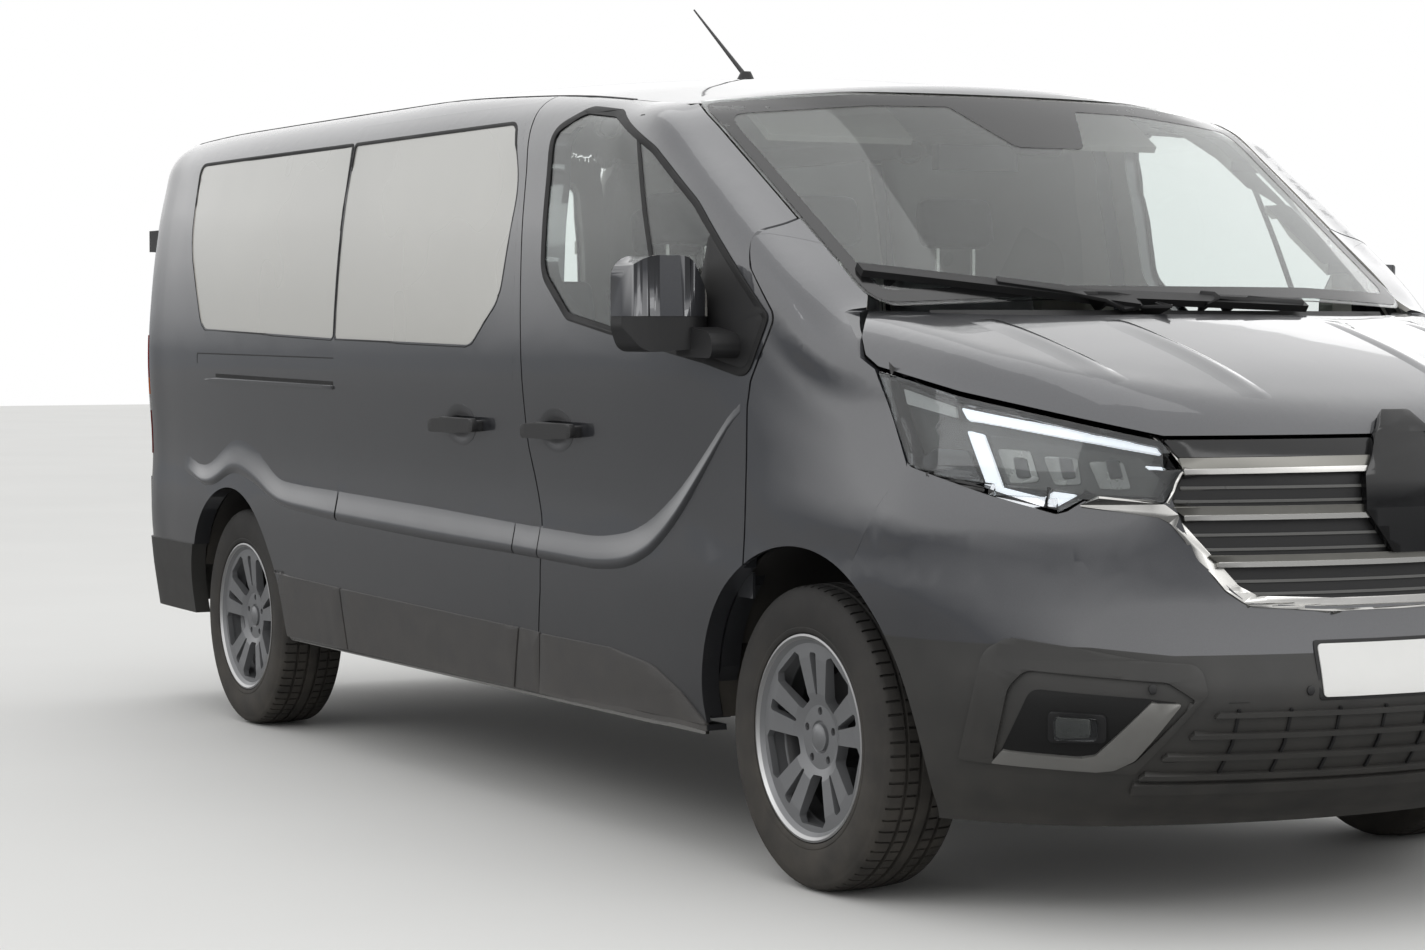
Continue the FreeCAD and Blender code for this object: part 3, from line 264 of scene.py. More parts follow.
# Grain: a fine moulded or cast surface, as a normal
grain, inside, outside = new_group("moulded_grain", {"Scale": 900.0, "Strength": 0.2},
                                   {"Normal": "Vector"})
cells = add_node(grain, "TexVoronoi", {"Vector": place_in(grain), "Scale": (inside, "Scale")})
bump = add_node(grain, "Bump", {"Height": (cells, "Distance"), "Distance": 0.0004,
                                "Strength": (inside, "Strength")})
feed(outside, {"Normal": (bump, "Normal")})


def toned(name, colour, second, scale, low, high, values):
    """A material of uneven tone, with its even values set on the shader."""
    material, tree, shader = new_material(name)
    tone = tone_of(tree, colour, second, scale, low, high)
    feed(shader, {"Base Color": (tone, 0), "Roughness": (tone, 1), **values})
    return material, tree, shader, tone


def plastic(name, colour, second, rough, grain_scale=900.0, grain_strength=0.25, dusty=0.0,
            metallic=0.0):
    """Moulded plastic or rubber with an uneven tone, a grain and some road dust."""
    material, tree, shader, tone = toned(name, colour, second, 9.0, rough - 0.05, rough + 0.07,
                                         {"Metallic": metallic})
    surface = add_node(tree, "Group", {"Scale": grain_scale, "Strength": grain_strength},
                       node_tree=grain)
    feed(shader, {"Normal": (surface, "Normal")})
    if dusty > 0:
        dirt = add_node(tree, "Group", {"Top": 0.75, "Amount": dusty}, node_tree=dust)
        feed(shader, {"Base Color": mix_colour(tree, (dirt, 0), (tone, 0), shade(128, 120, 108))})
    return material


def mode(wanted, select=None):
    bpy.ops.object.mode_set(mode=wanted)
    if select:
        bpy.ops.mesh.select_all(action=select)


def start():
    """Leaves edit mode and selects nothing."""
    if bpy.context.object and bpy.context.object.mode != "OBJECT":
        mode("OBJECT")
    bpy.ops.object.select_all(action="DESELECT")


def pick(obj):
    start()
    obj.select_set(True)
    bpy.context.view_layer.objects.active = obj


def apply_modifier(obj, kind, **settings):
    pick(obj)
    modifier = obj.modifiers.new(kind.lower(), kind)
    for key, value in settings.items():
        setattr(modifier, key, value)
    bpy.ops.object.modifier_apply(modifier=modifier.name)


def finish_piece(obj, body, material, angle=35.0):
    """Applies the piece's place, smooths it and lets it ride on its body."""
    pick(obj)
    bpy.ops.object.transform_apply(location=True, rotation=True, scale=True)
    bpy.ops.object.shade_smooth_by_angle(angle=math.radians(angle))
    obj.data.materials.clear()
    obj.data.materials.append(material)
    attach(obj, body)
    return obj


# Each view is what lies across it, what lies up it, and the way that it looks. A ray starts
# well clear of the van
far_off = 4.0
slant = math.radians(35.0)
views = {
    "right": (Vector((1, 0, 0)), Vector((0, 0, 1)), Vector((0, 1, 0))),
    "front": (Vector((0, 1, 0)), Vector((0, 0, 1)), Vector((-1, 0, 0))),
    "rear": (Vector((0, 1, 0)), Vector((0, 0, 1)), Vector((1, 0, 0))),
    "above": (Vector((1, 0, 0)), Vector((0, 1, 0)), Vector((0, 0, -1))),
    "corner": (Vector((math.sin(slant), math.cos(slant), 0)), Vector((0, 0, 1)),
               Vector((-math.cos(slant), math.sin(slant), 0))),
}


def skin_of(*names):
    """A searchable surface of some CAD nodes, to lay thin pieces on."""
    points = []
    faces = []
    for name in names:
        mesh = node[name].data
        first = len(points)
        points += [v.co.copy() for v in mesh.vertices]
        faces += [[first + i for i in p.vertices] for p in mesh.polygons]
    return BVHTree.FromPolygons(points, faces)


def rounded(corners):
    """Outline points from (a, b, corner radius) in millimetres, with arcs at the corners."""
    line = []
    count = len(corners)
    for i, (a, b, radius) in enumerate(corners):
        here = Vector((a, b)) / 1000
        back = Vector(corners[i - 1][:2]) / 1000 - here
        ahead = Vector(corners[(i + 1) % count][:2]) / 1000 - here
        radius = radius / 1000
        if radius <= 0:
            line.append((here.x, here.y, 0))
            continue
        half = back.angle(ahead) / 2
        cut = min(radius / math.tan(half), 0.48 * back.length, 0.48 * ahead.length)
        p, q = here + back.normalized() * cut, here + ahead.normalized() * cut
        for t in (0.0, 0.17, 0.34, 0.5, 0.66, 0.83, 1.0):
            at = p * (1 - t) ** 2 + here * 2 * t * (1 - t) + q * t * t
            line.append((at.x, at.y, 0))
    return line


def mesh_of(name, rings, **settings):
    """A mesh of closed rings of points, made through a curve."""
    start()
    curve = bpy.data.curves.new(name, "CURVE")
    for key, value in settings.items():
        setattr(curve, key, value)
    for ring in rings:
        spline = curve.splines.new("POLY")
        spline.points.add(len(ring) - 1)
        for point, at in zip(spline.points, ring):
            point.co = (*at, 1)
        spline.use_cyclic_u = True
    obj = bpy.data.objects.new(name, curve)
    bpy.context.scene.collection.objects.link(obj)
    pick(obj)
    bpy.ops.object.convert(target="MESH")
    return bpy.context.object


def cut_out(name, corners, step, holes=()):
    """A flat filled outline, cut into strips so that it can bend."""
    rings = [rounded(ring) for ring in (corners, *holes)]
    obj = mesh_of(name, rings, dimensions="2D", fill_mode="BOTH")
    mode("EDIT")
    for axis in (0, 1):
        low = min(c[axis] for c in corners) / 1000
        high = max(c[axis] for c in corners) / 1000
        count = int((high - low) / (step / 1000))
        for i in range(1, count + 1):
            at, way = Vector(), Vector()
            at[axis] = low + (high - low) * i / (count + 1)
            way[axis] = 1.0
            bpy.ops.mesh.select_all(action="SELECT")
            bpy.ops.mesh.bisect(plane_co=at, plane_no=way)
    bpy.ops.mesh.select_all(action="SELECT")
    bpy.ops.mesh.remove_doubles(threshold=0.0002)
    mode("OBJECT")
    return obj


def against(normal, way):
    """The normal on the side that a look along way meets."""
    return -normal if normal.dot(way) > 0 else normal


def lay(obj, view, skin, lift, thick, edge):
    """Lays a flat cut-out on a skin, then gives it its thickness and rounded edges."""
    across, up, way = views[view]
    missed = []
    last = None
    for v in obj.data.vertices:
        flat = across * v.co.x + up * v.co.y
        hit, normal, _, _ = skin.ray_cast(flat - way * far_off, way, 2 * far_off)
        if hit is None:
            missed.append((v, flat))
            continue
        v.co = hit + against(normal, way) * lift
        last = v.co.copy()
    for v, flat in missed:
        depth = last.dot(way) if last else 0.0
        hit, normal, _, _ = skin.find_nearest(flat + way * depth)
        v.co = flat + way * hit.dot(way) + against(normal, way) * lift
    obj.data.update()
    pick(obj)
    facing = sum((p.normal * p.area for p in obj.data.polygons), Vector())
    if facing.dot(way) > 0:
        mode("EDIT", "SELECT")
        bpy.ops.mesh.flip_normals()
        mode("OBJECT")
    apply_modifier(obj, "SOLIDIFY", thickness=thick, offset=-1.0)
    if edge > 0:
        apply_modifier(obj, "BEVEL", width=edge, segments=2, limit_method="ANGLE",
                       angle_limit=math.radians(50.0))


def panel(name, corners, step, view, skin, fit, material, slot_name="black_plastic",
          body="van_body", holes=()):
    """A thin piece, in mm: its outline, the width of its strips, and as fit its lift over the
    skin, its thickness and its edge radius."""
    piece = cut_out(name, corners, step, holes)
    lay(piece, view, skin, *(size / 1000 for size in fit))
    return finish_piece(piece, body, material)


def copy_of(obj, name):
    """The same object again, with a mesh of its own."""
    copy = obj.copy()
    copy.data = obj.data.copy()
    copy.name = name
    copy.parent = None
    bpy.context.scene.collection.objects.link(copy)
    return copy


def other_side(obj, body="van_body"):
    """The same piece on the van's left side."""
    copy = copy_of(obj, obj.name.replace("right_", "left_", 1))
    pick(copy)
    copy.scale = (1, -1, 1)
    bpy.ops.object.transform_apply(location=False, rotation=False, scale=True)
    mode("EDIT", "SELECT")
    bpy.ops.mesh.normals_make_consistent(inside=False)
    mode("OBJECT")
    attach(copy, body.replace("right", "left"))


def pair(name, *details, body="van_body", holes=()):
    """A panel on the right side, and its copy on the left."""
    piece = panel("right_" + name, *details, body=body, holes=holes)
    other_side(piece, body)
    return piece


lamp_skin = skin_of("headlamps")


def glass_finish(name, colour):
    return toned(name, colour, colour, 3.0, 0.0, 0.02,
                 {"Transmission Weight": 1.0, "IOR": 1.45})[0]


lens_clear = glass_finish("lens_clear", (236, 240, 242))
housing_dark = plastic("lamp_housing", (62, 62, 60), (74, 74, 71), 0.35, 700.0, 0.1)
cup_satin = plastic("lamp_cup", (118, 118, 114), (140, 140, 136), 0.25, 500.0, 0.05,
                    metallic=0.7)
cup_core = plastic("lamp_core", (48, 48, 47), (66, 66, 64), 0.15)
bezel_grey = plastic("lamp_bezel", (70, 70, 67), (84, 84, 80), 0.3, 500.0, 0.05)
gloss_black = plastic("gloss_black", (10, 10, 11), (15, 15, 16), 0.12, 600.0, 0.03)
satin_black = plastic("satin_black", (24, 24, 25), (31, 31, 32), 0.5)
marker_clear = plastic("marker_ribbed", (176, 176, 172), (206, 206, 202), 0.2, 260.0, 0.9)
light_guide, tree, shader, tone = toned("light_guide", (250, 252, 255), (240, 244, 250), 60.0,
                                        0.3, 0.4, {"Emission Strength": 0.75})
feed(shader, {"Emission Color": (tone, 0)})


def lamp_piece(name, corners, fit, material):
    return pair("lamp_" + name, corners, 45, "corner", lamp_skin, fit, material, "lamp_lens")


lens_line = [(411, 1168, 6), (487, 966, 16), (511, 950, 20), (655, 914, 60), (768, 880, 20),
             (802, 881, 22), (850, 908, 16), (1014, 901, 8), (1056, 968, 8), (1008, 1027, 8),
             (843, 1062, 200), (593, 1115, 200)]
lamp_piece("lens", lens_line, (0, 3, 1), lens_clear)
housing = lamp_piece("housing", lens_line, (-42, 20, 0), housing_dark)
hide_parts("headlamps")
# The wall between the lens and the housing is a ring of the same outline
wall_hole = [(430, 1152, 6), (500, 970, 14), (655, 926, 50), (772, 890, 18), (796, 891, 18),
             (846, 919, 14), (1008, 912, 8), (1044, 966, 8), (1002, 1016, 8), (840, 1050, 200),
             (596, 1102, 200)]
pair("lamp_wall", lens_line, 45, "corner", lamp_skin, (-3, 42, 0), gloss_black, holes=(wall_hole,))
for name, corners, fit, material in (
        ("guide_top", [(591, 1094, 3), (1000, 1023, 3), (1015, 1003, 3), (604, 1071, 3)],
         (-12, 12, 2), light_guide),
        ("guide_hook", [(604, 1046, 3), (638, 1040, 3), (680, 931, 6), (767, 911, 6),
                        (788, 924, 4), (837, 918, 3), (806, 893, 6), (722, 896, 14),
                        (655, 914, 14)], (-12, 12, 2), light_guide),
        ("marker", [(461, 1132, 3), (577, 1096, 3), (580, 1073, 3), (469, 1099, 3)],
         (-14, 10, 1), marker_clear),
        ("louvre", [(506, 985, 10), (536, 1008, 20), (605, 1005, 6), (646, 918, 6),
                    (517, 950, 10)], (-12, 10, 2), gloss_black)):
    lamp_piece(name, corners, fit, material)
for i, drop in enumerate((0, 16, 32)):
    tip = drop * 0.45
    lamp_piece("louvre_fin_%d" % i, [(528, 996 - drop, 1), (612 + tip, 992 - drop, 1),
                                     (614 + tip, 988 - drop, 1), (528, 991 - drop, 1)],
               (-6, 8, 1), gloss_black)
lamp_piece("bezel", [(640, 1044, 10), (967, 1000, 14), (1012, 956, 8), (991, 912, 8),
                     (684, 936, 10)], (-30, 8, 3), bezel_grey)
for i, cup in enumerate(([(662, 1014, 8), (733, 1010, 8), (754, 946, 8), (692, 941, 8)],
                         [(760, 1000, 8), (833, 996, 8), (843, 941, 8), (787, 939, 8)],
                         [(856, 990, 8), (931, 987, 8), (948, 930, 8), (883, 932, 8)])):
    lamp_piece("cup_%d" % i, cup, (-26, 6, 3), cup_satin)
    middle = sum(c[0] for c in cup) / 4
    lamp_piece("cup_core_%d" % i, [(middle - 12, 996, 6), (middle + 16, 994, 6),
                                   (middle + 26, 954, 6), (middle - 2, 952, 6)],
               (-21, 5, 3), cup_core)
lamp_piece("clip", [(975, 978, 2), (1010, 976, 2), (1022, 968, 2), (984, 971, 2)],
           (-12, 6, 1), light_guide)

# Grille
# A black moulding with thin satin ribs and upright vanes, crossed by three bright double
# bars. A bright strip frames its lower edge and runs on under the lamps.
grille_skin = skin_of("grille")
satin_chrome = toned("satin_chrome", (196, 195, 192), (180, 179, 176), 12.0, 0.2, 0.28,
                     {"Metallic": 1.0})[0]
bar_relief = toned("bar_relief", (112, 111, 107), (128, 127, 122), 14.0, 0.3, 0.36,
                   {"Metallic": 0.9})[0]
rib_satin = plastic("rib_satin", (84, 84, 83), (100, 100, 98), 0.3)
dress(satin_black, "grille")


def across_nose(name, z_low, z_high, half_low, half_high, fit, material,
                slot_name="black_plastic", skin=grille_skin, step=60, bend=2):
    """A bar across the whole nose, laid on it from the front."""
    panel(name, [(-half_low, z_low, bend), (half_low, z_low, bend), (half_high, z_high, bend),
                 (-half_high, z_high, bend)], step, "front", skin, fit, material, slot_name)


across_nose("grille_top_band", 992, 1026, 522, 548, (6, 12, 2), gloss_black)
for i, (z_low, z_high, half_low, half_high) in enumerate((
        (958, 990, 521, 523), (864, 893, 520, 543), (767, 792, 454, 470))):
    across_nose("grille_bar_%d" % i, z_low + 10, z_high, half_low, half_high,
                (12, 16, 3), bar_relief)
    across_nose("grille_bar_edge_%d" % i, z_low, z_low + 11, half_low - 2, half_low,
                (17, 16, 4), satin_chrome)
for i, (z, half) in enumerate(((931, 523), (903, 536), (834, 507), (804, 488), (738, 430),
                               (712, 396))):
    across_nose("grille_rib_%d" % i, z - 3, z + 3, half, half, (4, 12, 1), rib_satin)
for i in range(11):
    y = -500.0 + 100.0 * i
    foot = 716 if abs(y) < 390 else (790 if abs(y) < 460 else 880)
    panel("grille_vane_%d" % i, [(y - 3, foot, 0), (y + 3, foot, 0), (y - 7, 990, 0),
                                 (y - 13, 990, 0)], 80, "front", grille_skin,
          (-1, 8, 0), satin_black)


def mirrored(half):
    """An outline that is the same on the van's two sides, from its left half."""
    return half + [(-a, b, bend) for a, b, bend in reversed(half)]


strip_half = [(220, 674, 100), (396, 686, 60), (446, 722, 20), (552, 860, 10), (572, 871, 10),
              (700, 893, 2), (688, 912, 2), (560, 898, 12), (536, 878, 20), (408, 728, 30),
              (370, 708, 40), (200, 700, 100)]
panel("grille_bright_frame", mirrored(strip_half), 60, "front",
      skin_of("front_bumper", "grille"), (4, 8, 2), satin_chrome)
for name, sign in (("right", -1), ("left", 1)):
    panel("grille_lamp_edge_" + name,
          [(sign * y, z, 1) for y, z in ((548, 1032), (520, 970), (556, 900), (551, 899),
                                         (514, 970), (543, 1034))], 30, "front",
          skin_of("grille", "headlamps", "front_bumper"), (4, 5, 1), satin_chrome)
panel("badge_panel", mirrored([(36, 1072, 10), (74, 1030, 6), (126, 950, 14), (126, 880, 14),
                               (60, 790, 14)]), 30, "front", skin_of("grille", "bonnet"),
      (22, 18, 5), gloss_black)

# Bumper insert
# The lower part of the bumper is one grained black moulding. It holds the lower grille, two
# fog lamp pockets with a satin silver blade each, two parking sensors and the plate carrier.
insert_skin = skin_of("bumper_insert", "front_bumper")
bumper_plastic = plastic("bumper_plastic", (44, 44, 44), (54, 54, 53), 0.5, 1100.0, 0.35, 0.15)
dress(bumper_plastic, "bumper_insert")
# Painted shade: a near-black sheet laid where openings and recesses hold only shade, in the fog
# pockets, the lower grille, the rail slot and the scuttle's air slots
painted_shade_black = plastic("painted_shade_black", (9, 9, 9), (14, 14, 14), 0.6)
silver = toned("satin_silver", (150, 149, 146), (162, 161, 158), 10.0, 0.3, 0.38,
               {"Metallic": 0.75})[0]
surround = [(597, 358, 6), (648, 592, 60), (700, 622, 60), (855, 602, 100), (974, 580, 100),
            (1090, 570, 60), (1104, 512, 20), (958, 345, 20)]
pocket_line = [(668, 364, 6), (700, 520, 60), (736, 556, 40), (1022, 536, 30), (1080, 500, 8),
               (958, 372, 30), (900, 352, 20)]
sensors = [("sensor_%d" % i, [(a + 8 * math.cos(t * math.pi / 6),
                               z + 10 * math.sin(t * math.pi / 6), 0) for t in range(12)], (),
            (lift, 8, 1), satin_black)
           for i, (a, z, lift) in enumerate(((992, 523, 11), (1317, 515, 4)))]
for name, corners, holes, fit, material in [
        ("pocket_surround", surround, (pocket_line,), (8, 12, 4), bumper_plastic),
        # The pocket floor is a near-black sheet of painted shade at the back of each fog pocket
        ("pocket_floor", [(680, 372, 6), (745, 518, 30), (974, 505, 20), (1046, 496, 6),
                          (950, 380, 20)], (), (1.5, 2, 0), painted_shade_black),
        ("silver_blade", [(989, 496, 4), (1051, 494, 4), (958, 377, 30), (917, 355, 30),
                          (881, 350, 10), (666, 357, 3), (688, 385, 3), (851, 379, 10),
                          (878, 385, 14), (901, 408, 20)], (), (10, 12, 3), silver),
        ("fog_bezel", [(782, 474, 12), (900, 470, 12), (900, 412, 12), (782, 408, 12)], (),
         (6, 6, 2), satin_black),
        ("fog_reflector", [(799, 462, 10), (868, 462, 10), (868, 424, 10), (800, 421, 10)], (),
         (10, 5, 2), cup_satin),
        ("fog_lens", [(795, 466, 12), (884, 464, 12), (884, 420, 12), (796, 417, 12)], (),
         (14, 2, 1), lens_clear)] + sensors:
    pair(name, corners, 45, "corner", insert_skin, fit, material, "trim_plastic", holes=holes)

# The lower grille's opening is a near-black sheet of painted shade laid over the insert
panel("lower_grille_hollow", mirrored([(150, 326, 60), (598, 342, 14), (466, 494, 14),
                                       (230, 494, 4)]), 60, "front", insert_skin,
      (1.5, 2, 0), painted_shade_black)
for i, (z, half) in enumerate(((470, 486), (428, 528), (383, 566), (340, 590))):
    across_nose("lower_rib_%d" % i, z - 5, z + 5, half + 4, half - 4, (12, 12, 3),
                bumper_plastic, "trim_plastic", insert_skin)


def oblong(a0, a1, b0, b1, bend):
    return [(a0, b0, bend), (a1, b0, bend), (a1, b1, bend), (a0, b1, bend)]


for i in range(9):
    y = -440.0 + 110.0 * i
    panel("lower_vane_%d" % i, oblong(y - 3, y + 3, 335, 480, 0), 80, "front", insert_skin,
          (7, 6, 0), satin_black)
across_nose("plate_carrier", 494, 616, 268, 268, (2, 14, 3), satin_black,
            "trim_plastic", insert_skin, 80, 8)
plate_white = plastic("plate_white", (226, 226, 224), (234, 234, 232), 0.35, 2000.0, 0.05)
across_nose("front_plate", 501, 608, 260, 260, (5.5, 3.5, 1), plate_white,
            "trim_plastic", insert_skin, 80, 10)
across_nose("bumper_lip", 300, 322, 590, 596, (10, 14, 4), bumper_plastic,
            "trim_plastic", insert_skin)

# Lower cladding and sills
# Grained dark plastic panels clip on along the foot of the doors and sides. Under them a
# black sill carries a thin bright strip from wheel to wheel.
side_skin = skin_of("body_side_right", "sliding_door", "cab_door_right", "front_fenders")
cladding = plastic("cladding", (62, 62, 63), (72, 71, 71), 0.42, 1200.0, 0.3, 0.25)
right_door = "cab_door_right"
pair("door_cladding", [(423, 318, 6), (466, 450, 60), (474, 478, 8), (860, 476, 300),
                       (1080, 452, 200), (1200, 400, 100), (1296, 332, 8), (1294, 318, 4)], 90,
     "right", skin_of("cab_door_right"), (5, 10, 4), cladding, "trim_plastic",
     body=right_door)
for name, corners, fit, material in (
        ("middle_cladding", [(-862, 318, 6), (-862, 499, 6), (300, 483, 6), (342, 483, 6),
                             (266, 318, 6)], (5, 10, 4), cladding),
        ("post_cladding", [(272, 318, 4), (348, 483, 4), (464, 480, 4), (416, 318, 4)],
         (3, 8, 3), cladding),
        ("quarter_cladding", [(-1354, 318, 6), (-1362, 440, 30), (-1400, 512, 8),
                              (-1330, 509, 20), (-872, 500, 6), (-872, 318, 6)],
         (5, 10, 4), cladding),
        ("sill_strip", [(-1340, 308, 2), (-1340, 318, 2), (1290, 316, 2), (1290, 306, 2)],
         (2, 10, 2), satin_chrome)):
    pair(name, corners, 90, "right", side_skin, fit, material, "trim_plastic")

# Side windows
# The panes of the sliding door and the quarters are bonded flush, behind a thin black gap.
# They are blanked pale from inside, with a painted shade that deepens towards the top in soft
# patches.
pale_pane, tree, shader = new_material("pale_pane")
split = add_node(tree, "SeparateXYZ", {0: place_in(tree)})
# Painted shade: the pane darkens towards the top, in soft noise patches
height = add_node(tree, "MapRange", {"Value": (split, "Z"), "From Min": 1.2, "From Max": 1.8})
shade_patches = add_node(tree, "TexNoise", {"Vector": place_in(tree), "Scale": 1.6, "Detail": 2.0})
depth = add_node(tree, "Math", {0: (height, 0), 1: (shade_patches, 0)}, operation="MULTIPLY")
rough = add_node(tree, "MapRange", {"Value": (shade_patches, 0), "To Min": 0.22, "To Max": 0.34})
feed(shader, {"Base Color": colour_ramp(tree, (depth, 0), ((0.0, (182, 181, 176)),
                                                           (1.0, (160, 161, 158)))),
              "Roughness": (rough, 0), "Coat Weight": 0.6, "Coat Roughness": 0.05})
dress(pale_pane, "side_glass")
rubber = plastic("seal_rubber", (16, 16, 17), (22, 22, 23), 0.6, 1500.0, 0.2)


def grown(corners, by):
    """The same outline moved outwards, or inwards where by is negative."""
    turn = sum(a[0] * b[1] - b[0] * a[1] for a, b in zip(corners, corners[1:] + corners[:1]))
    out = []
    for i, (a, b, radius) in enumerate(corners):
        here = Vector((a, b))
        back = (here - Vector(corners[i - 1][:2])).normalized()
        ahead = (Vector(corners[(i + 1) % len(corners)][:2]) - here).normalized()
        n1, n2 = Vector((back.y, -back.x)), Vector((ahead.y, -ahead.x))
        if turn < 0:
            n1, n2 = -n1, -n2
        way = (n1 + n2).normalized()
        reach = by / max(way.dot(n1), 0.3)
        out.append((a + way.x * reach, b + way.y * reach, max(radius + by, 1.0)))
    return out


pane_lines = [[(-859, 1232, 14), (-859, 1797, 14), (224, 1799, 60), (310, 1632, 200),
               (253, 1342, 120), (86, 1216, 90)],
              [(-2190, 1797, 45), (-2158, 1529, 300), (-1995, 1262, 90), (-875, 1232, 14),
               (-875, 1797, 14)]]
for i, corners in enumerate(pane_lines):
    pair("pane_gap_%d" % i, grown(corners, 5), 70, "right", side_skin, (1.2, 2.5, 0),
         rubber, holes=(grown(corners, -5),))

dress(glass_finish("clear_glass", (236, 242, 240)), "windscreen", "cab_door_glass_left",
      "cab_door_glass_right", "rear_glass_left", "rear_glass_right")
cab_glass = [(664, 1288, 60), (505, 1400, 90), (470, 1762, 50), (592, 1812, 90),
             (774, 1792, 90), (1040, 1690, 300), (1270, 1552, 300), (1585, 1284, 14),
             (1515, 1152, 50), (1346, 1186, 60)]
window_skin = skin_of("cab_door_right", "cab_door_glass_right")
for name, corners, holes, fit, material in (
        ("seal", grown(cab_glass, 8), (grown(cab_glass, -11),), (3, 6, 2), rubber),
        ("bar", [(907, 1780, 1), (926, 1780, 1), (1190, 1222, 1), (1168, 1222, 1)], (),
         (1, 6, 1), rubber),
        ("sail", [(1338, 1490, 20), (1580, 1290, 20), (1516, 1156, 40), (1346, 1190, 20),
                  (1282, 1226, 20)], (), (2.5, 8, 3), satin_black)):
    pair("cab_window_" + name, corners, 60, "right", window_skin, fit, material,
         body=right_door, holes=holes)

# Slide rail and door handles
# The sliding door runs on a rail hidden behind a cover and a long slot in the quarter
# panel. Each door has a dark bar handle that bridges a pressed finger bowl.
for name, corners, fit, material, slot_name in (
        ("gap", [(-2042, 1150, 2), (-2042, 1184, 10), (-869, 1176, 1), (-869, 1172.5, 1),
                 (-2036, 1180, 10), (-2038, 1150, 2)], (0.6, 1, 0), rubber,
         "black_plastic"),
        # The rail slot is a near-black strip of painted shade
        ("slot", [(-1862, 1106, 4), (-1862, 1118, 4), (-874, 1106, 2), (-874, 1095, 2)],
         (0.6, 1, 0), painted_shade_black, "black_plastic"),
        ("ledge", [(-1990, 1098, 4), (-1866, 1104, 4), (-874, 1094, 2), (-874, 1083, 2),
                   (-1866, 1092, 6)], (5, 6, 3), paint, "body_paint")):
    panel("right_rail_" + name, corners, 90, "right", side_skin, fit, material, slot_name)


def bowl_finish(name, x, z, half_x, half_z):
    """Paint whose bump follows a pressed bowl at a place on the side."""
    material, tree, shader, _ = toned(name, (50, 51, 54), (60, 61, 65), 4.0, 0.3, 0.36,
                                      {"Metallic": 0.55, "Coat Weight": 1.0})
    centre = add_node(tree, "Mapping", {"Vector": place_in(tree),
                                        "Location": (-x / half_x, 0.0, -z / half_z),
                                        "Scale": (1 / half_x, 0.0, 1 / half_z)})
    ball = add_node(tree, "TexGradient", {0: (centre, 0)}, gradient_type="QUADRATIC_SPHERE")
    bump = add_node(tree, "Bump", {"Height": (ball, "Fac"), "Distance": 0.022,
                                   "Strength": 1.0}, invert=True)
    feed(shader, {"Normal": (bump, 0)})
    return material


handle_dark = plastic("handle_dark", (40, 40, 41), (50, 50, 50), 0.38, 900.0, 0.15)
handle_z = 1003.0
bowl_x, bowl_z = 98.0, 56.0
for owner, x, body, make in (("slider", 10.0, "van_body", panel),
                             ("cab", 590.0, right_door, pair)):
    bowl = [(x + bowl_x * math.cos(t * math.pi / 12),
             handle_z + bowl_z * math.sin(t * math.pi / 12), 0) for t in range(24)]
    bowl_paint = bowl_finish(owner + "_bowl", x / 1000, handle_z / 1000, bowl_x / 1000,
                             bowl_z / 1000)
    bar = [(x - 142, -20, 14), (x - 142, 14, 14), (x - 60, 22, 60), (x + 148, 20, 16),
           (x + 148, -14, 16), (x + 40, -20, 60)]
    parts = [("bowl", bowl, 25, (0.6, 1, 0), bowl_paint, "body_paint"),
             ("bar", [(a, handle_z + b, radius) for a, b, radius in bar], 30,
              (34, 15, 6), handle_dark, "trim_plastic")]
    for end, a0, a1 in (("rear", x - 136, x - 92), ("front", x + 98, x + 142)):
        foot = [(a0, handle_z - 15, 10), (a0, handle_z + 14, 10), (a1, handle_z + 14, 6),
                (a1, handle_z - 15, 6)]
        parts.append(("foot_" + end, foot, 30, (22, 22, 4), handle_dark,
                      "trim_plastic"))
    for name, corners, step, fit, material, slot_name in parts:
        full_name = ("right_" if make is panel else "") + owner + "_handle_" + name
        make(full_name, corners, step, "right", side_skin, fit, material, slot_name, body=body)

# Roof ditches
# The roof panel is joined to each side in a channel, which a long black moulding covers.
# It clips in along the whole roof and stands a few millimetres proud.
pair("roof_ditch", oblong(-2560, 700, -806, -794, 2), 120, "above",
     skin_of("roof_panel", "body_side_right", "cab_door_right"), (1.5, 3, 1), rubber)

# Tyres
# Radial road tyres, 215 mm wide. The tread has four round grooves and short cross grooves,
# all moulded in one piece with plain side walls.
front_x = sum(c.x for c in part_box("wheel_front_left")) / 2
rear_x = sum(c.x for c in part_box("wheel_rear_left")) / 2
axle_z = sum(c.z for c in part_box("wheel_front_left")) / 2
tyre_rubber = plastic("tyre_rubber", (27, 27, 28), (36, 35, 34), 0.75, 1800.0, 0.3, 0.3)
outer_line = [(93.5, 233.8), (101.5, 236.5), (104, 241), (104.4, 247), (103.2, 249),
              (106.4, 262), (107.4, 290), (105.5, 306), (102, 318), (100.5, 321), (99.5, 326),
              (97, 331), (92, 336.5), (84, 340.2), (57, 342.8), (56, 335), (48, 335.4),
              (47, 343.4), (22.5, 344.6), (21.5, 336.5), (13.5, 336.7), (12.5, 344.9)]
inner_line = [(70, 322), (86, 285), (80, 240), (89.5, 222)]
tread_loop = outer_line + [(-a, r) for a, r in reversed(outer_line)]
tread_loop += [(-a, r) for a, r in reversed(inner_line)] + inner_line
pitches = 72
pitch_angle = math.radians(360 / pitches)
groove_share = 0.2
groove_depth = 0.006
groove_floor = 334
tread_blocks = ((57, 98), (22.6, 46.9))
weld = 0.00005


def spin_part(angle, steps, copy=False):
    bpy.ops.mesh.spin(steps=steps, angle=angle, center=(0, 0, 0), axis=(0, 1, 0), dupli=copy)


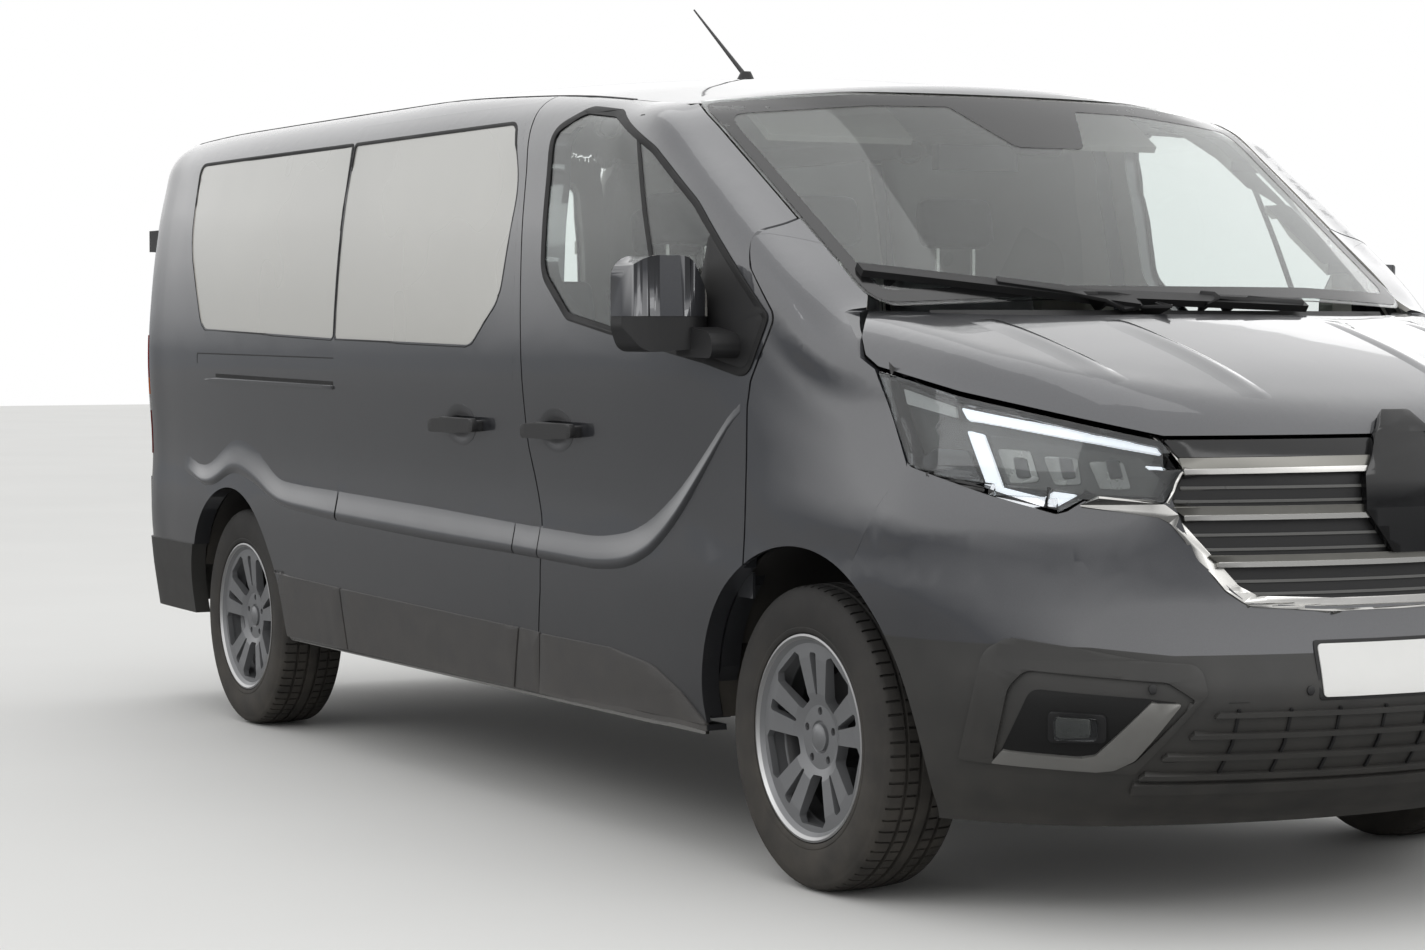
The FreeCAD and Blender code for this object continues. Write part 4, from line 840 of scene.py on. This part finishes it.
# One pitch: a block is spun from the profile, and its end then on over the groove's width
tyre_first = mesh_of("tyre_model", [[(0, a / 1000, r / 1000) for a, r in tread_loop]],
                     dimensions="3D")
mode("EDIT", "SELECT")
turn = pitch_angle * (1 - groove_share)
spin_part(turn, 1)
mode("OBJECT")
for v in tyre_first.data.vertices:
    v.select = abs(math.atan2(v.co.x, v.co.z)) > turn * 0.9
for e in tyre_first.data.edges:
    e.select = all(tyre_first.data.vertices[i].select for i in e.vertices)
for p in tyre_first.data.polygons:
    p.select = False
mode("EDIT")
bpy.ops.mesh.select_mode(type="EDGE")
spin_part(pitch_angle * groove_share, 1)
bpy.ops.mesh.select_all(action="SELECT")
bpy.ops.mesh.remove_doubles(threshold=weld)
bpy.ops.mesh.normals_make_consistent(inside=False)
mode("OBJECT")
# The cross grooves are pressed in between the round ones
for p in tyre_first.data.polygons:
    a = abs(p.center.y) * 1000
    r = math.hypot(p.center.x, p.center.z) * 1000
    in_groove = abs(math.atan2(p.center.x, p.center.z)) > turn
    in_block = any(low < a < high for low, high in tread_blocks)
    p.select = in_groove and r > groove_floor and in_block
for part in (tyre_first.data.edges, tyre_first.data.vertices):
    for each in part:
        each.select = False
mode("EDIT")
bpy.ops.mesh.select_mode(type="FACE")
bpy.ops.mesh.extrude_region_shrink_fatten(
    TRANSFORM_OT_shrink_fatten={"value": -groove_depth})
bpy.ops.mesh.select_all(action="SELECT")
spin_part(math.radians(360), pitches, True)
bpy.ops.mesh.select_all(action="SELECT")
bpy.ops.mesh.remove_doubles(threshold=weld)
mode("OBJECT")

corners = (("front_left", 1, front_x), ("front_right", -1, front_x), ("rear_left", 1, rear_x),
           ("rear_right", -1, rear_x))
tyre_y = {corner: sum(c.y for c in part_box("tyre_" + corner)) / 2 for corner, _, _ in corners}
for corner, sign, x in corners:
    tread = copy_of(tyre_first, "tread_" + corner)
    tread.location = (x, tyre_y[corner], axle_z)
    finish_piece(tread, "wheel_" + corner, tyre_rubber, 30.0)
    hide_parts("tyre_" + corner)
bpy.data.objects.remove(tyre_first)

# Wheels
# Cast alloy wheels in satin grey lacquer: five pairs of spokes, a thin turned lip, five
# wheel bolts and a bare domed cap. Inboard of the spoke face the wheel is painted dark grey:
# painted shade behind the spokes, where the dark brake disc shows through the windows.
wheel_grey, tree, shader = new_material("wheel_grey")
split = add_node(tree, "SeparateXYZ", {0: place_in(tree)})
offsets = []
for x in (front_x, rear_x):
    shift = add_node(tree, "Math", {0: (split, "X"), 1: x}, operation="SUBTRACT")
    offsets.append(add_node(tree, "Math", {0: (shift, 0)}, operation="ABSOLUTE"))
near = add_node(tree, "Math", {0: (offsets[0], 0), 1: (offsets[1], 0)}, operation="MINIMUM")
rise = add_node(tree, "Math", {0: (split, "Z"), 1: axle_z}, operation="SUBTRACT")
flat = add_node(tree, "CombineXYZ", {0: (near, 0), 1: (rise, 0)})
radius = add_node(tree, "VectorMath", {0: (flat, 0)}, operation="LENGTH")
lip = add_node(tree, "MapRange", {"Value": (radius, "Value"), "From Min": 0.2205,
                                  "From Max": 0.2215})
# Painted shade: inboard of the spoke face the wheel turns dark grey
side = add_node(tree, "Math", {0: (split, "Y")}, operation="ABSOLUTE")
depth = add_node(tree, "MapRange", {"Value": (side, 0), "From Min": 0.842, "From Max": 0.846})
tone = tone_of(tree, (112, 113, 115), (126, 127, 129), 6.0, 0.34, 0.42)
inboard_shade = mix_colour(tree, (depth, 0), shade(46, 46, 47), (tone, 0))
metal = add_node(tree, "MapRange", {"Value": (lip, 0), "To Min": 0.35, "To Max": 0.9})
feed(shader, {"Base Color": mix_colour(tree, (lip, 0), inboard_shade, shade(186, 186, 186)),
              "Roughness": (tone, 1), "Metallic": (metal, 0), "Coat Weight": 0.4,
              "Coat Roughness": 0.2})
bolt_steel = toned("bolt_steel", (120, 120, 120), (90, 90, 92), 90.0, 0.3, 0.5,
                   {"Metallic": 0.9})[0]


def primitive(add, name, scale=(1.0, 1.0, 1.0), **settings):
    """A primitive at its size and place, as the start of a piece."""
    start()
    add(**settings)
    obj = bpy.context.object
    obj.name = name
    obj.scale = scale
    return obj


cap_offset = 0.064
bolt_offset = 0.051
bolt_ring = 0.059
bolt_count = 5
for corner, sign, x in corners:
    dress(wheel_grey, "wheel_" + corner)
    outwards = (math.radians(-90 * sign), 0, 0)
    cap = primitive(bpy.ops.mesh.primitive_cylinder_add, "cap_" + corner, vertices=40,
                    radius=0.031, depth=0.012, rotation=outwards,
                    location=(x, tyre_y[corner] + sign * cap_offset, axle_z))
    mode("EDIT", "DESELECT")
    mode("OBJECT")
    for p in cap.data.polygons:
        p.select = p.normal.z > 0.9
    mode("EDIT")
    bpy.ops.mesh.select_mode(type="FACE")
    for thickness, depth in ((0.003, 0.0), (0.004, 0.002), (0.014, 0.003)):
        bpy.ops.mesh.inset(thickness=thickness, depth=depth)
    mode("OBJECT")
    finish_piece(cap, "wheel_" + corner, wheel_grey, 50.0)
    for i in range(bolt_count):
        turn = math.radians(90 + 360 / bolt_count * i)
        bolt = primitive(bpy.ops.mesh.primitive_cylinder_add, "bolt_%s_%d" % (corner, i),
                         vertices=6, radius=0.0088, depth=0.02, rotation=outwards,
                         location=(x + bolt_ring * math.cos(turn),
                                   tyre_y[corner] + sign * bolt_offset,
                                   axle_z + bolt_ring * math.sin(turn)))
        apply_modifier(bolt, "BEVEL", width=0.0012, segments=2)
        finish_piece(bolt, "wheel_" + corner, bolt_steel, 40.0)

# Underbody
# Floor, rails, wheel housings and axle parts are pressed or cast steel under black coating,
# dull and dusty from the road. A small cover closes the towing eye's hole in the bumper.
dress(plastic("underbody_coat", (26, 26, 27), (40, 38, 36), 0.7, 300.0, 0.5, 0.5),
      "floor_pan", "front_subframe", "rear_axle", "toe_board", "wheel_housings")
dress(plastic("cast_grey", (74, 73, 71), (96, 92, 86), 0.6, 500.0, 0.6, 0.3),
      "engine_block", "knuckle_left", "knuckle_right")
eye_y = eye_z = 0.48
cover_spot, _, _, _ = insert_skin.ray_cast(Vector((far_off, eye_y + 0.04, eye_z)),
                                           Vector((-1, 0, 0)), far_off)
cover = primitive(bpy.ops.mesh.primitive_uv_sphere_add, "towing_eye_cover", (0.25, 1.0, 1.0),
                  segments=20, ring_count=10, radius=0.024,
                  location=(cover_spot.x - 0.003, eye_y, eye_z))
finish_piece(cover, "van_body", bumper_plastic)

# Windscreen border
# A black ceramic band hides the glue all round the screen, wide at the foot and with a patch
# at the top centre for the sensors, which sit in a small box behind it.
screen_skin = skin_of("windscreen")
black_band = plastic("ceramic_band", (12, 12, 13), (17, 17, 18), 0.15, 900.0, 0.02)
screen_line = mirrored([(420, 1842, 900), (798, 1812, 50), (770, 1306, 60), (400, 1322, 900)])
band_hole = mirrored([(100, 1700, 40), (190, 1805, 20), (400, 1803, 300), (757, 1775, 45),
                      (730, 1344, 30), (400, 1356, 900)])
panel("screen_band", grown(screen_line, -9), 60, "front", screen_skin, (0.6, 1, 0),
      black_band, holes=(band_hole,))
panel("sensor_box", mirrored([(60, 1790, 10), (72, 1716, 16)]), 40, "front",
      screen_skin, (-12, 30, 4), satin_black)

# Wipers, scuttle and aerial
# Two black blades park low on the screen. Each has a slim rubber under a sprung arm that
# comes out of the scuttle, a grained black tray with rows of air slots.
dress(satin_black, "wipers", "scuttle_panel", "aerial")
for i, (y, z, y_blade, z_blade) in enumerate(((300, 1296, 20, 1322), (-130, 1296, -470, 1352))):
    panel("wiper_arm_%d" % i, [(y + 16, z - 8, 6), (y + 12, z + 12, 6),
                               (y_blade, z_blade + 5, 3), (y_blade - 6, z_blade - 7, 3)], 50,
          "front", skin_of("windscreen", "bonnet", "scuttle_panel"), (24, 8, 2),
          satin_black)
for i in range(9):
    y = -560.0 + 140.0 * i
    # Each air slot is a near-black strip of painted shade
    panel("scuttle_slot_%d" % i, oblong(1846, 1856, y - 44, y + 44, 3), 30, "above",
          skin_of("scuttle_panel"), (0.6, 1, 0), painted_shade_black)

# Door mirrors
# A painted cap covers the upper half of each mirror head. The lower shell and the foot are
# grained black, and the glass faces rearwards in a thin black frame.
mirror_glass = toned("mirror_glass", (205, 210, 214), (210, 214, 218), 3.0, 0.02, 0.03,
                     {"Metallic": 1.0})[0]
cap_foot, cap_inner, cap_front = 1.287, 0.966, 1.226
for side, sign in (("right", -1), ("left", 1)):
    dress(satin_black, "mirror_" + side)
    cap = copy_of(node["mirror_" + side], side + "_mirror_cap")
    pick(cap)
    mode("EDIT", "SELECT")
    bpy.ops.mesh.remove_doubles(threshold=0.0001)
    for at, way in (((0, 0, cap_foot), (0, 0, 1)), ((0, sign * cap_inner, 0), (0, sign, 0)),
                    ((cap_front, 0, 0), (1, 0, 0))):
        bpy.ops.mesh.select_all(action="SELECT")
        bpy.ops.mesh.bisect(plane_co=at, plane_no=way, clear_inner=True, use_fill=False)
    mode("OBJECT")
    apply_modifier(cap, "SOLIDIFY", thickness=0.0025, offset=0.6)
    finish_piece(cap, "cab_door_" + side, paint, 40.0)
    panel(side + "_mirror_glass",
          [(sign * 982, 1240, 24), (sign * 1118, 1234, 30), (sign * 1120, 1396, 36),
           (sign * 1026, 1398, 36), (sign * 984, 1330, 50)], 50, "rear",
          skin_of("mirror_" + side), (1, 2, 0), mirror_glass, "clear_glass",
          "cab_door_" + side)

# Rear doors and tail lamps
# Two leaves close the rear, hung on black hinges. Each has a bonded window, the right one
# a handle above the plate place. Narrow red lamps stand on the rear corners.
dress(bumper_plastic, "rear_bumper")
dress(satin_black, "rear_door_hinges")
tail_lens, tree, shader = new_material("tail_lens")
split = add_node(tree, "SeparateXYZ", {0: place_in(tree)})
height = add_node(tree, "MapRange", {"Value": (split, "Z"), "From Min": 0.84,
                                     "From Max": 1.24})
bands = colour_ramp(tree, (height, 0), ((0.0, (120, 10, 12)), (0.36, (205, 205, 204)),
                                        (0.5, (214, 110, 30)), (0.64, (150, 12, 14))),
                    "CONSTANT")
ribs = add_node(tree, "TexWave", {"Vector": place_in(tree), "Scale": 40.0},
                bands_direction="Z")
bump = add_node(tree, "Bump", {"Height": (ribs, "Fac"), "Strength": 0.4, "Distance": 0.001})
feed(shader, {"Base Color": bands, "Normal": (bump, 0), "Roughness": 0.12, "Coat Weight": 1.0})
dress(tail_lens, "tail_lamps")
rear_pane_line = [(95, 1245, 40), (745, 1245, 60), (725, 1560, 300), (690, 1790, 50),
                  (95, 1800, 40)]
for side, sign in (("left", 1), ("right", -1)):
    leaf = "rear_door_" + side
    leaf_skin = skin_of(leaf, "rear_glass_" + side)
    line = [(sign * a, b, radius) for a, b, radius in rear_pane_line]
    panel(side + "_rear_seal", grown(line, 7), 70, "rear", leaf_skin, (3, 6, 2),
          rubber, "black_plastic", leaf, (grown(line, -9),))
    panel(side + "_rear_lower_panel", oblong(sign * 30, sign * 800, 600, 616, 8), 70, "rear",
          leaf_skin, (3, 4, 1.5), paint, "body_paint", leaf)
for name, corners, step, fit, material in (
        ("rear_plate_place", oblong(-620, -60, 940, 1084, 16), 70, (1, 2, 0), satin_black),
        ("rear_plate", oblong(-600, -80, 958, 1066, 8), 80, (5, 3, 1), plate_white),
        ("rear_door_handle", oblong(-560, -90, 1116, 1150, 10), 60, (24, 20, 6), handle_dark)):
    panel(name, corners, step, "rear", skin_of("rear_door_right"), fit, material,
          "trim_plastic", "rear_door_right")

# Cab fittings
# The dashboard is a pale grained moulding with a dark top edge and slot. Sun visors, an inner
# mirror and grab handles hang under the headlining, and the wheel has a rim in black leather.
pale_trim = plastic("pale_trim", (188, 186, 179), (198, 196, 190), 0.6, 700.0, 0.3)
dress(plastic("dash_plastic", (150, 148, 142), (160, 158, 152), 0.55, 900.0, 0.3), "dashboard")
dress(plastic("wheel_leather", (28, 28, 29), (38, 38, 39), 0.45, 700.0, 0.4), "steering_wheel")
panel("dash_slot", oblong(1474, 1512, -560, 620, 6), 80, "above", skin_of("dashboard"),
      (1, 2, 0), satin_black, "trim_plastic")


def block(name, size, spot, width, segments, tilt=0.0):
    """A box with well rounded edges."""
    obj = primitive(bpy.ops.mesh.primitive_cube_add, name, size, size=1.0, location=spot,
                    rotation=(0, math.radians(tilt), 0))
    apply_modifier(obj, "BEVEL", width=width, segments=segments)
    return obj


hood = primitive(bpy.ops.mesh.primitive_cube_add, "instrument_hood", (0.13, 0.34, 0.07),
                 size=1.0, location=(1.33, 0.43, 1.2))
finish_piece(hood, "van_body", satin_black)
apply_modifier(hood, "BEVEL", width=0.03, segments=4)
for name, y in (("right_visor", -0.38), ("left_visor", 0.38)):
    visor = block(name, (0.17, 0.42, 0.018), (0.93, y, 1.775), 0.006, 3, 34)
    finish_piece(visor, "van_body", pale_trim)
inner_mirror = block("inner_mirror", (0.03, 0.24, 0.065), (1.03, 0.0, 1.69), 0.012, 3)
finish_piece(inner_mirror, "van_body", satin_black)
for i, (x, y) in enumerate(((0.35, -0.69), (0.35, 0.69), (-0.35, -0.69), (-0.35, 0.69))):
    grab = primitive(bpy.ops.mesh.primitive_torus_add, "grab_handle_%d" % i, (1.0, 0.45, 1.0),
                     major_radius=0.075, minor_radius=0.009, major_segments=32,
                     minor_segments=10, location=(x, y, 1.79),
                     rotation=(math.radians(90), 0, 0))
    finish_piece(grab, "van_body", pale_trim)

# Seats
# Three seats stand in each row, all in one dark woven cloth over foam. Cushion, back and head
# restraint are simulated once with sewn channels held down, and then fitted to each seat.
seat_fabric, tree, shader, _ = toned("seat_fabric", (52, 53, 55), (66, 66, 68), 14.0, 0.8, 0.92,
                                     {"Sheen Weight": 0.3})
warp, weft = (add_node(tree, "TexWave", {"Vector": place_in(tree), "Scale": 190.0},
                       bands_direction=way) for way in ("Y", "DIAGONAL"))
weave = add_node(tree, "Math", {0: (warp, "Fac"), 1: (weft, "Fac")}, operation="MULTIPLY")
bump = add_node(tree, "Bump", {"Height": (weave, 0), "Strength": 0.2, "Distance": 0.0004})
feed(shader, {"Normal": (bump, 0)})

pad_voxel = 0.012
seam_reach = 0.007
pad_pressure = 4.0
cloth_frames = 20


def soft_pad(name, size, seams, cap):
    """A foam pad at the origin, blown up by cloth pressure between its sewn channels."""
    pad = primitive(bpy.ops.mesh.primitive_cube_add, name, size, size=1.0)
    bpy.ops.object.transform_apply(scale=True)
    apply_modifier(pad, "BEVEL", width=0.03, segments=4)
    pad.data.remesh_voxel_size = pad_voxel
    bpy.ops.object.voxel_remesh()
    held = pad.vertex_groups.new(name="sewn")
    for v in pad.data.vertices:
        if any(abs(v.co[axis] - at) < seam_reach for axis, at in seams):
            held.add([v.index], 1.0, "REPLACE")
    before = [v.co.copy() for v in pad.data.vertices]
    cloth = pad.modifiers.new("cloth", "CLOTH")
    cloth.settings.vertex_group_mass = held.name
    cloth.settings.use_pressure = True
    cloth.settings.uniform_pressure_force = pad_pressure
    cloth.settings.effector_weights.gravity = 0.0
    for step in range(1, cloth_frames + 1):
        bpy.context.scene.frame_set(step)
    bpy.ops.object.modifier_apply(modifier=cloth.name)
    for v, old in zip(pad.data.vertices, before):
        move = v.co - old
        if move.length > cap:
            v.co = old + move * (cap / move.length)
    bpy.context.scene.frame_set(1)
    apply_modifier(pad, "SUBSURF", levels=1, render_levels=1)
    return pad


# Each seam is the axis that it crosses and its place along it
pads = {"cushion": soft_pad("pad_cushion", (0.48, 0.45, 0.1),
                            ((1, -0.13), (1, 0.13), (0, 0.12)), 0.022),
        "back": soft_pad("pad_back", (0.11, 0.44, 0.56),
                         ((1, -0.13), (1, 0.13), (2, 0.1)), 0.022),
        "head": soft_pad("pad_head", (0.08, 0.23, 0.14), ((0, 0.0),), 0.012)}
floor_z = 0.545
lean = math.radians(-14)
pad_width = 0.5
post_half = 0.06
# Each row: its CAD node, its place along the van, and each seat's place across and width
for row, seat_node, x, seats in (
        ("front", "front_seats", 0.48, ((0.43, 0.5), (-0.43, 0.5), (-0.01, 0.33))),
        ("rear", "rear_bench", -0.56, ((0.56, 0.47), (0.07, 0.47), (-0.42, 0.47)))):
    for i, (y, width) in enumerate(seats):
        for kind, spot, turn, across in (
                ("cushion", (x + 0.26, y, floor_z + 0.265), 0.0, width / pad_width),
                ("back", (x - 0.105, y, floor_z + 0.578), lean, width / pad_width),
                ("head", (x - 0.195, y, floor_z + 1.0075), lean, 1.0)):
            pad = copy_of(pads[kind], "%s_%s_%d" % (row, kind, i))
            pad.location = spot
            pad.rotation_euler = (0.0, turn, 0.0)
            pad.scale = (1.0, across, 1.0)
            finish_piece(pad, "van_body", seat_fabric, 60.0)
            if kind == "cushion" and i == 0:
                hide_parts(seat_node)
        pedestal = block("%s_pedestal_%d" % (row, i), (0.36, width - 0.12, 0.2),
                         (x + 0.24, y, floor_z + 0.1), 0.02, 3)
        finish_piece(pedestal, "van_body", satin_black)
        for j in (-1, 1):
            post = primitive(bpy.ops.mesh.primitive_cylinder_add,
                             "%s_post_%d_%d" % (row, i, j + 1), vertices=16, radius=0.007,
                             depth=0.14, location=(x - 0.19, y + j * post_half, floor_z + 0.9))
            finish_piece(post, "van_body", satin_chrome)
for pad in pads.values():
    bpy.data.objects.remove(pad)

# Pressed crease along the sides
# A long crease runs low along each side, over the rear wheel and up the cab door. Its upper
# face leans back to the sky and reads light. It is pressed panel by panel, so the shut lines
# stay open across it.
crease_top = [(-2230, 862), (-2120, 838), (-2009, 810), (-1860, 868), (-1718, 928),
              (-1519, 894), (-1376, 806), (-1200, 795), (-855, 789), (-207, 776), (367, 759),
              (825, 750), (1032, 778), (1226, 879), (1408, 1025), (1510, 1120)]
crease_foot = [(-2230, 800), (-2120, 775), (-1953, 747), (-1860, 772), (-1733, 814),
               (-1537, 778), (-1400, 735), (-1280, 716), (-840, 696), (-194, 680), (377, 674),
               (833, 664), (1018, 684), (1160, 753), (1319, 902), (1510, 1098)]
crease_depth = 0.009
# Across the crease: the share of its width, and the share of its depth there
crease_rows = ((0.0, -0.04), (0.12, 0.05), (0.3, 0.28), (0.5, 0.58), (0.68, 0.86), (0.8, 1.0),
               (0.88, 0.9), (0.95, 0.45), (1.0, -0.06))
fade_rear, fade_front = (-2215, 180), (1500, 240)
column_gap = 25
inwards = Vector((0, 1, 0))


def line_height(line, x):
    """Height of a line at x, rounded off over its corners."""
    total = 0.0
    for shift in (-70, -35, 0, 35, 70):
        at = min(max(x + shift, line[0][0]), line[-1][0] - 1)
        i = max(k for k, point in enumerate(line[:-1]) if point[0] <= at)
        (x0, z0), (x1, z1) = line[i], line[i + 1]
        total += z0 + (z1 - z0) * (at - x0) / (x1 - x0)
    return total / 5


def pressed_strip(name, columns, body, outwards):
    """A thin pressed strip through columns of points, in paint, and its copy on the left."""
    rows = len(columns[0])
    faces = [(i * rows + j, i * rows + j + 1, (i + 1) * rows + j + 1, (i + 1) * rows + j)
             for i in range(len(columns) - 1) for j in range(rows - 1)]
    mesh = bpy.data.meshes.new(name)
    mesh.from_pydata([point for column in columns for point in column], [], faces)
    strip = bpy.data.objects.new(name, mesh)
    bpy.context.scene.collection.objects.link(strip)
    if sum(p.normal.dot(outwards) for p in mesh.polygons) < 0:
        mesh.flip_normals()
    other_side(finish_piece(strip, body, paint, 60.0), body)


for name, x0, x1, body in (("quarter", -2215, -868.5, "van_body"),
                           ("middle", -858, 341, "van_body"), ("post", 347, 489, "van_body"),
                           ("door", 494, 1492, right_door)):
    count = int((x1 - x0) / column_gap) + 1
    columns = []
    for i in range(count + 1):
        x = x0 + (x1 - x0) * i / count
        fade = min(1.0, (x - fade_rear[0]) / fade_rear[1], (fade_front[0] - x) / fade_front[1])
        high, low = line_height(crease_top, x), line_height(crease_foot, x)
        columns.append([])
        for t, rise in crease_rows:
            flat = Vector((x / 1000, -3.0, (high + (low - high) * t) / 1000))
            hit, normal, _, _ = side_skin.ray_cast(flat, inwards, far_off)
            lift = crease_depth * (rise * fade if rise > 0 else rise)
            columns[-1].append(hit + against(normal, inwards) * lift)
    pressed_strip("right_crease_" + name, columns, body, -inwards)

# Bonnet creases
# Two shallow creases on each half of the bonnet run from the windscreen towards the grille.
# They are pressed into the skin and fade out at both ends.
bonnet_skin = skin_of("bonnet")
ridge_height = 0.006
ridge_sunk = 0.0004
ridge_columns = 32
ridge_rows = ((-60, -0.05), (-45, 0.12), (-30, 0.4), (-15, 0.8), (-4, 1.0), (4, 0.9), (14, 0.4),
              (24, -0.05))
for name, near, far_end in (("outer", (1960, -588), (2420, -556)),
                            ("inner", (2040, -300), (2540, -272))):
    columns = []
    for i in range(ridge_columns + 1):
        along = i / ridge_columns
        x = near[0] + (far_end[0] - near[0]) * along
        y = near[1] + (far_end[1] - near[1]) * along
        fade = ridge_height * math.sin(math.pi * along) ** 0.5
        columns.append([])
        for across, rise in ridge_rows:
            above = Vector((x / 1000, (y + across) / 1000, far_off))
            hit, _, _, _ = bonnet_skin.ray_cast(above, Vector((0, 0, -1)), far_off)
            rise = fade * rise if rise > 0 else -ridge_sunk
            columns[-1].append(hit + Vector((0, 0, rise)))
    pressed_strip("right_bonnet_" + name, columns, "bonnet", Vector((0, 0, 1)))
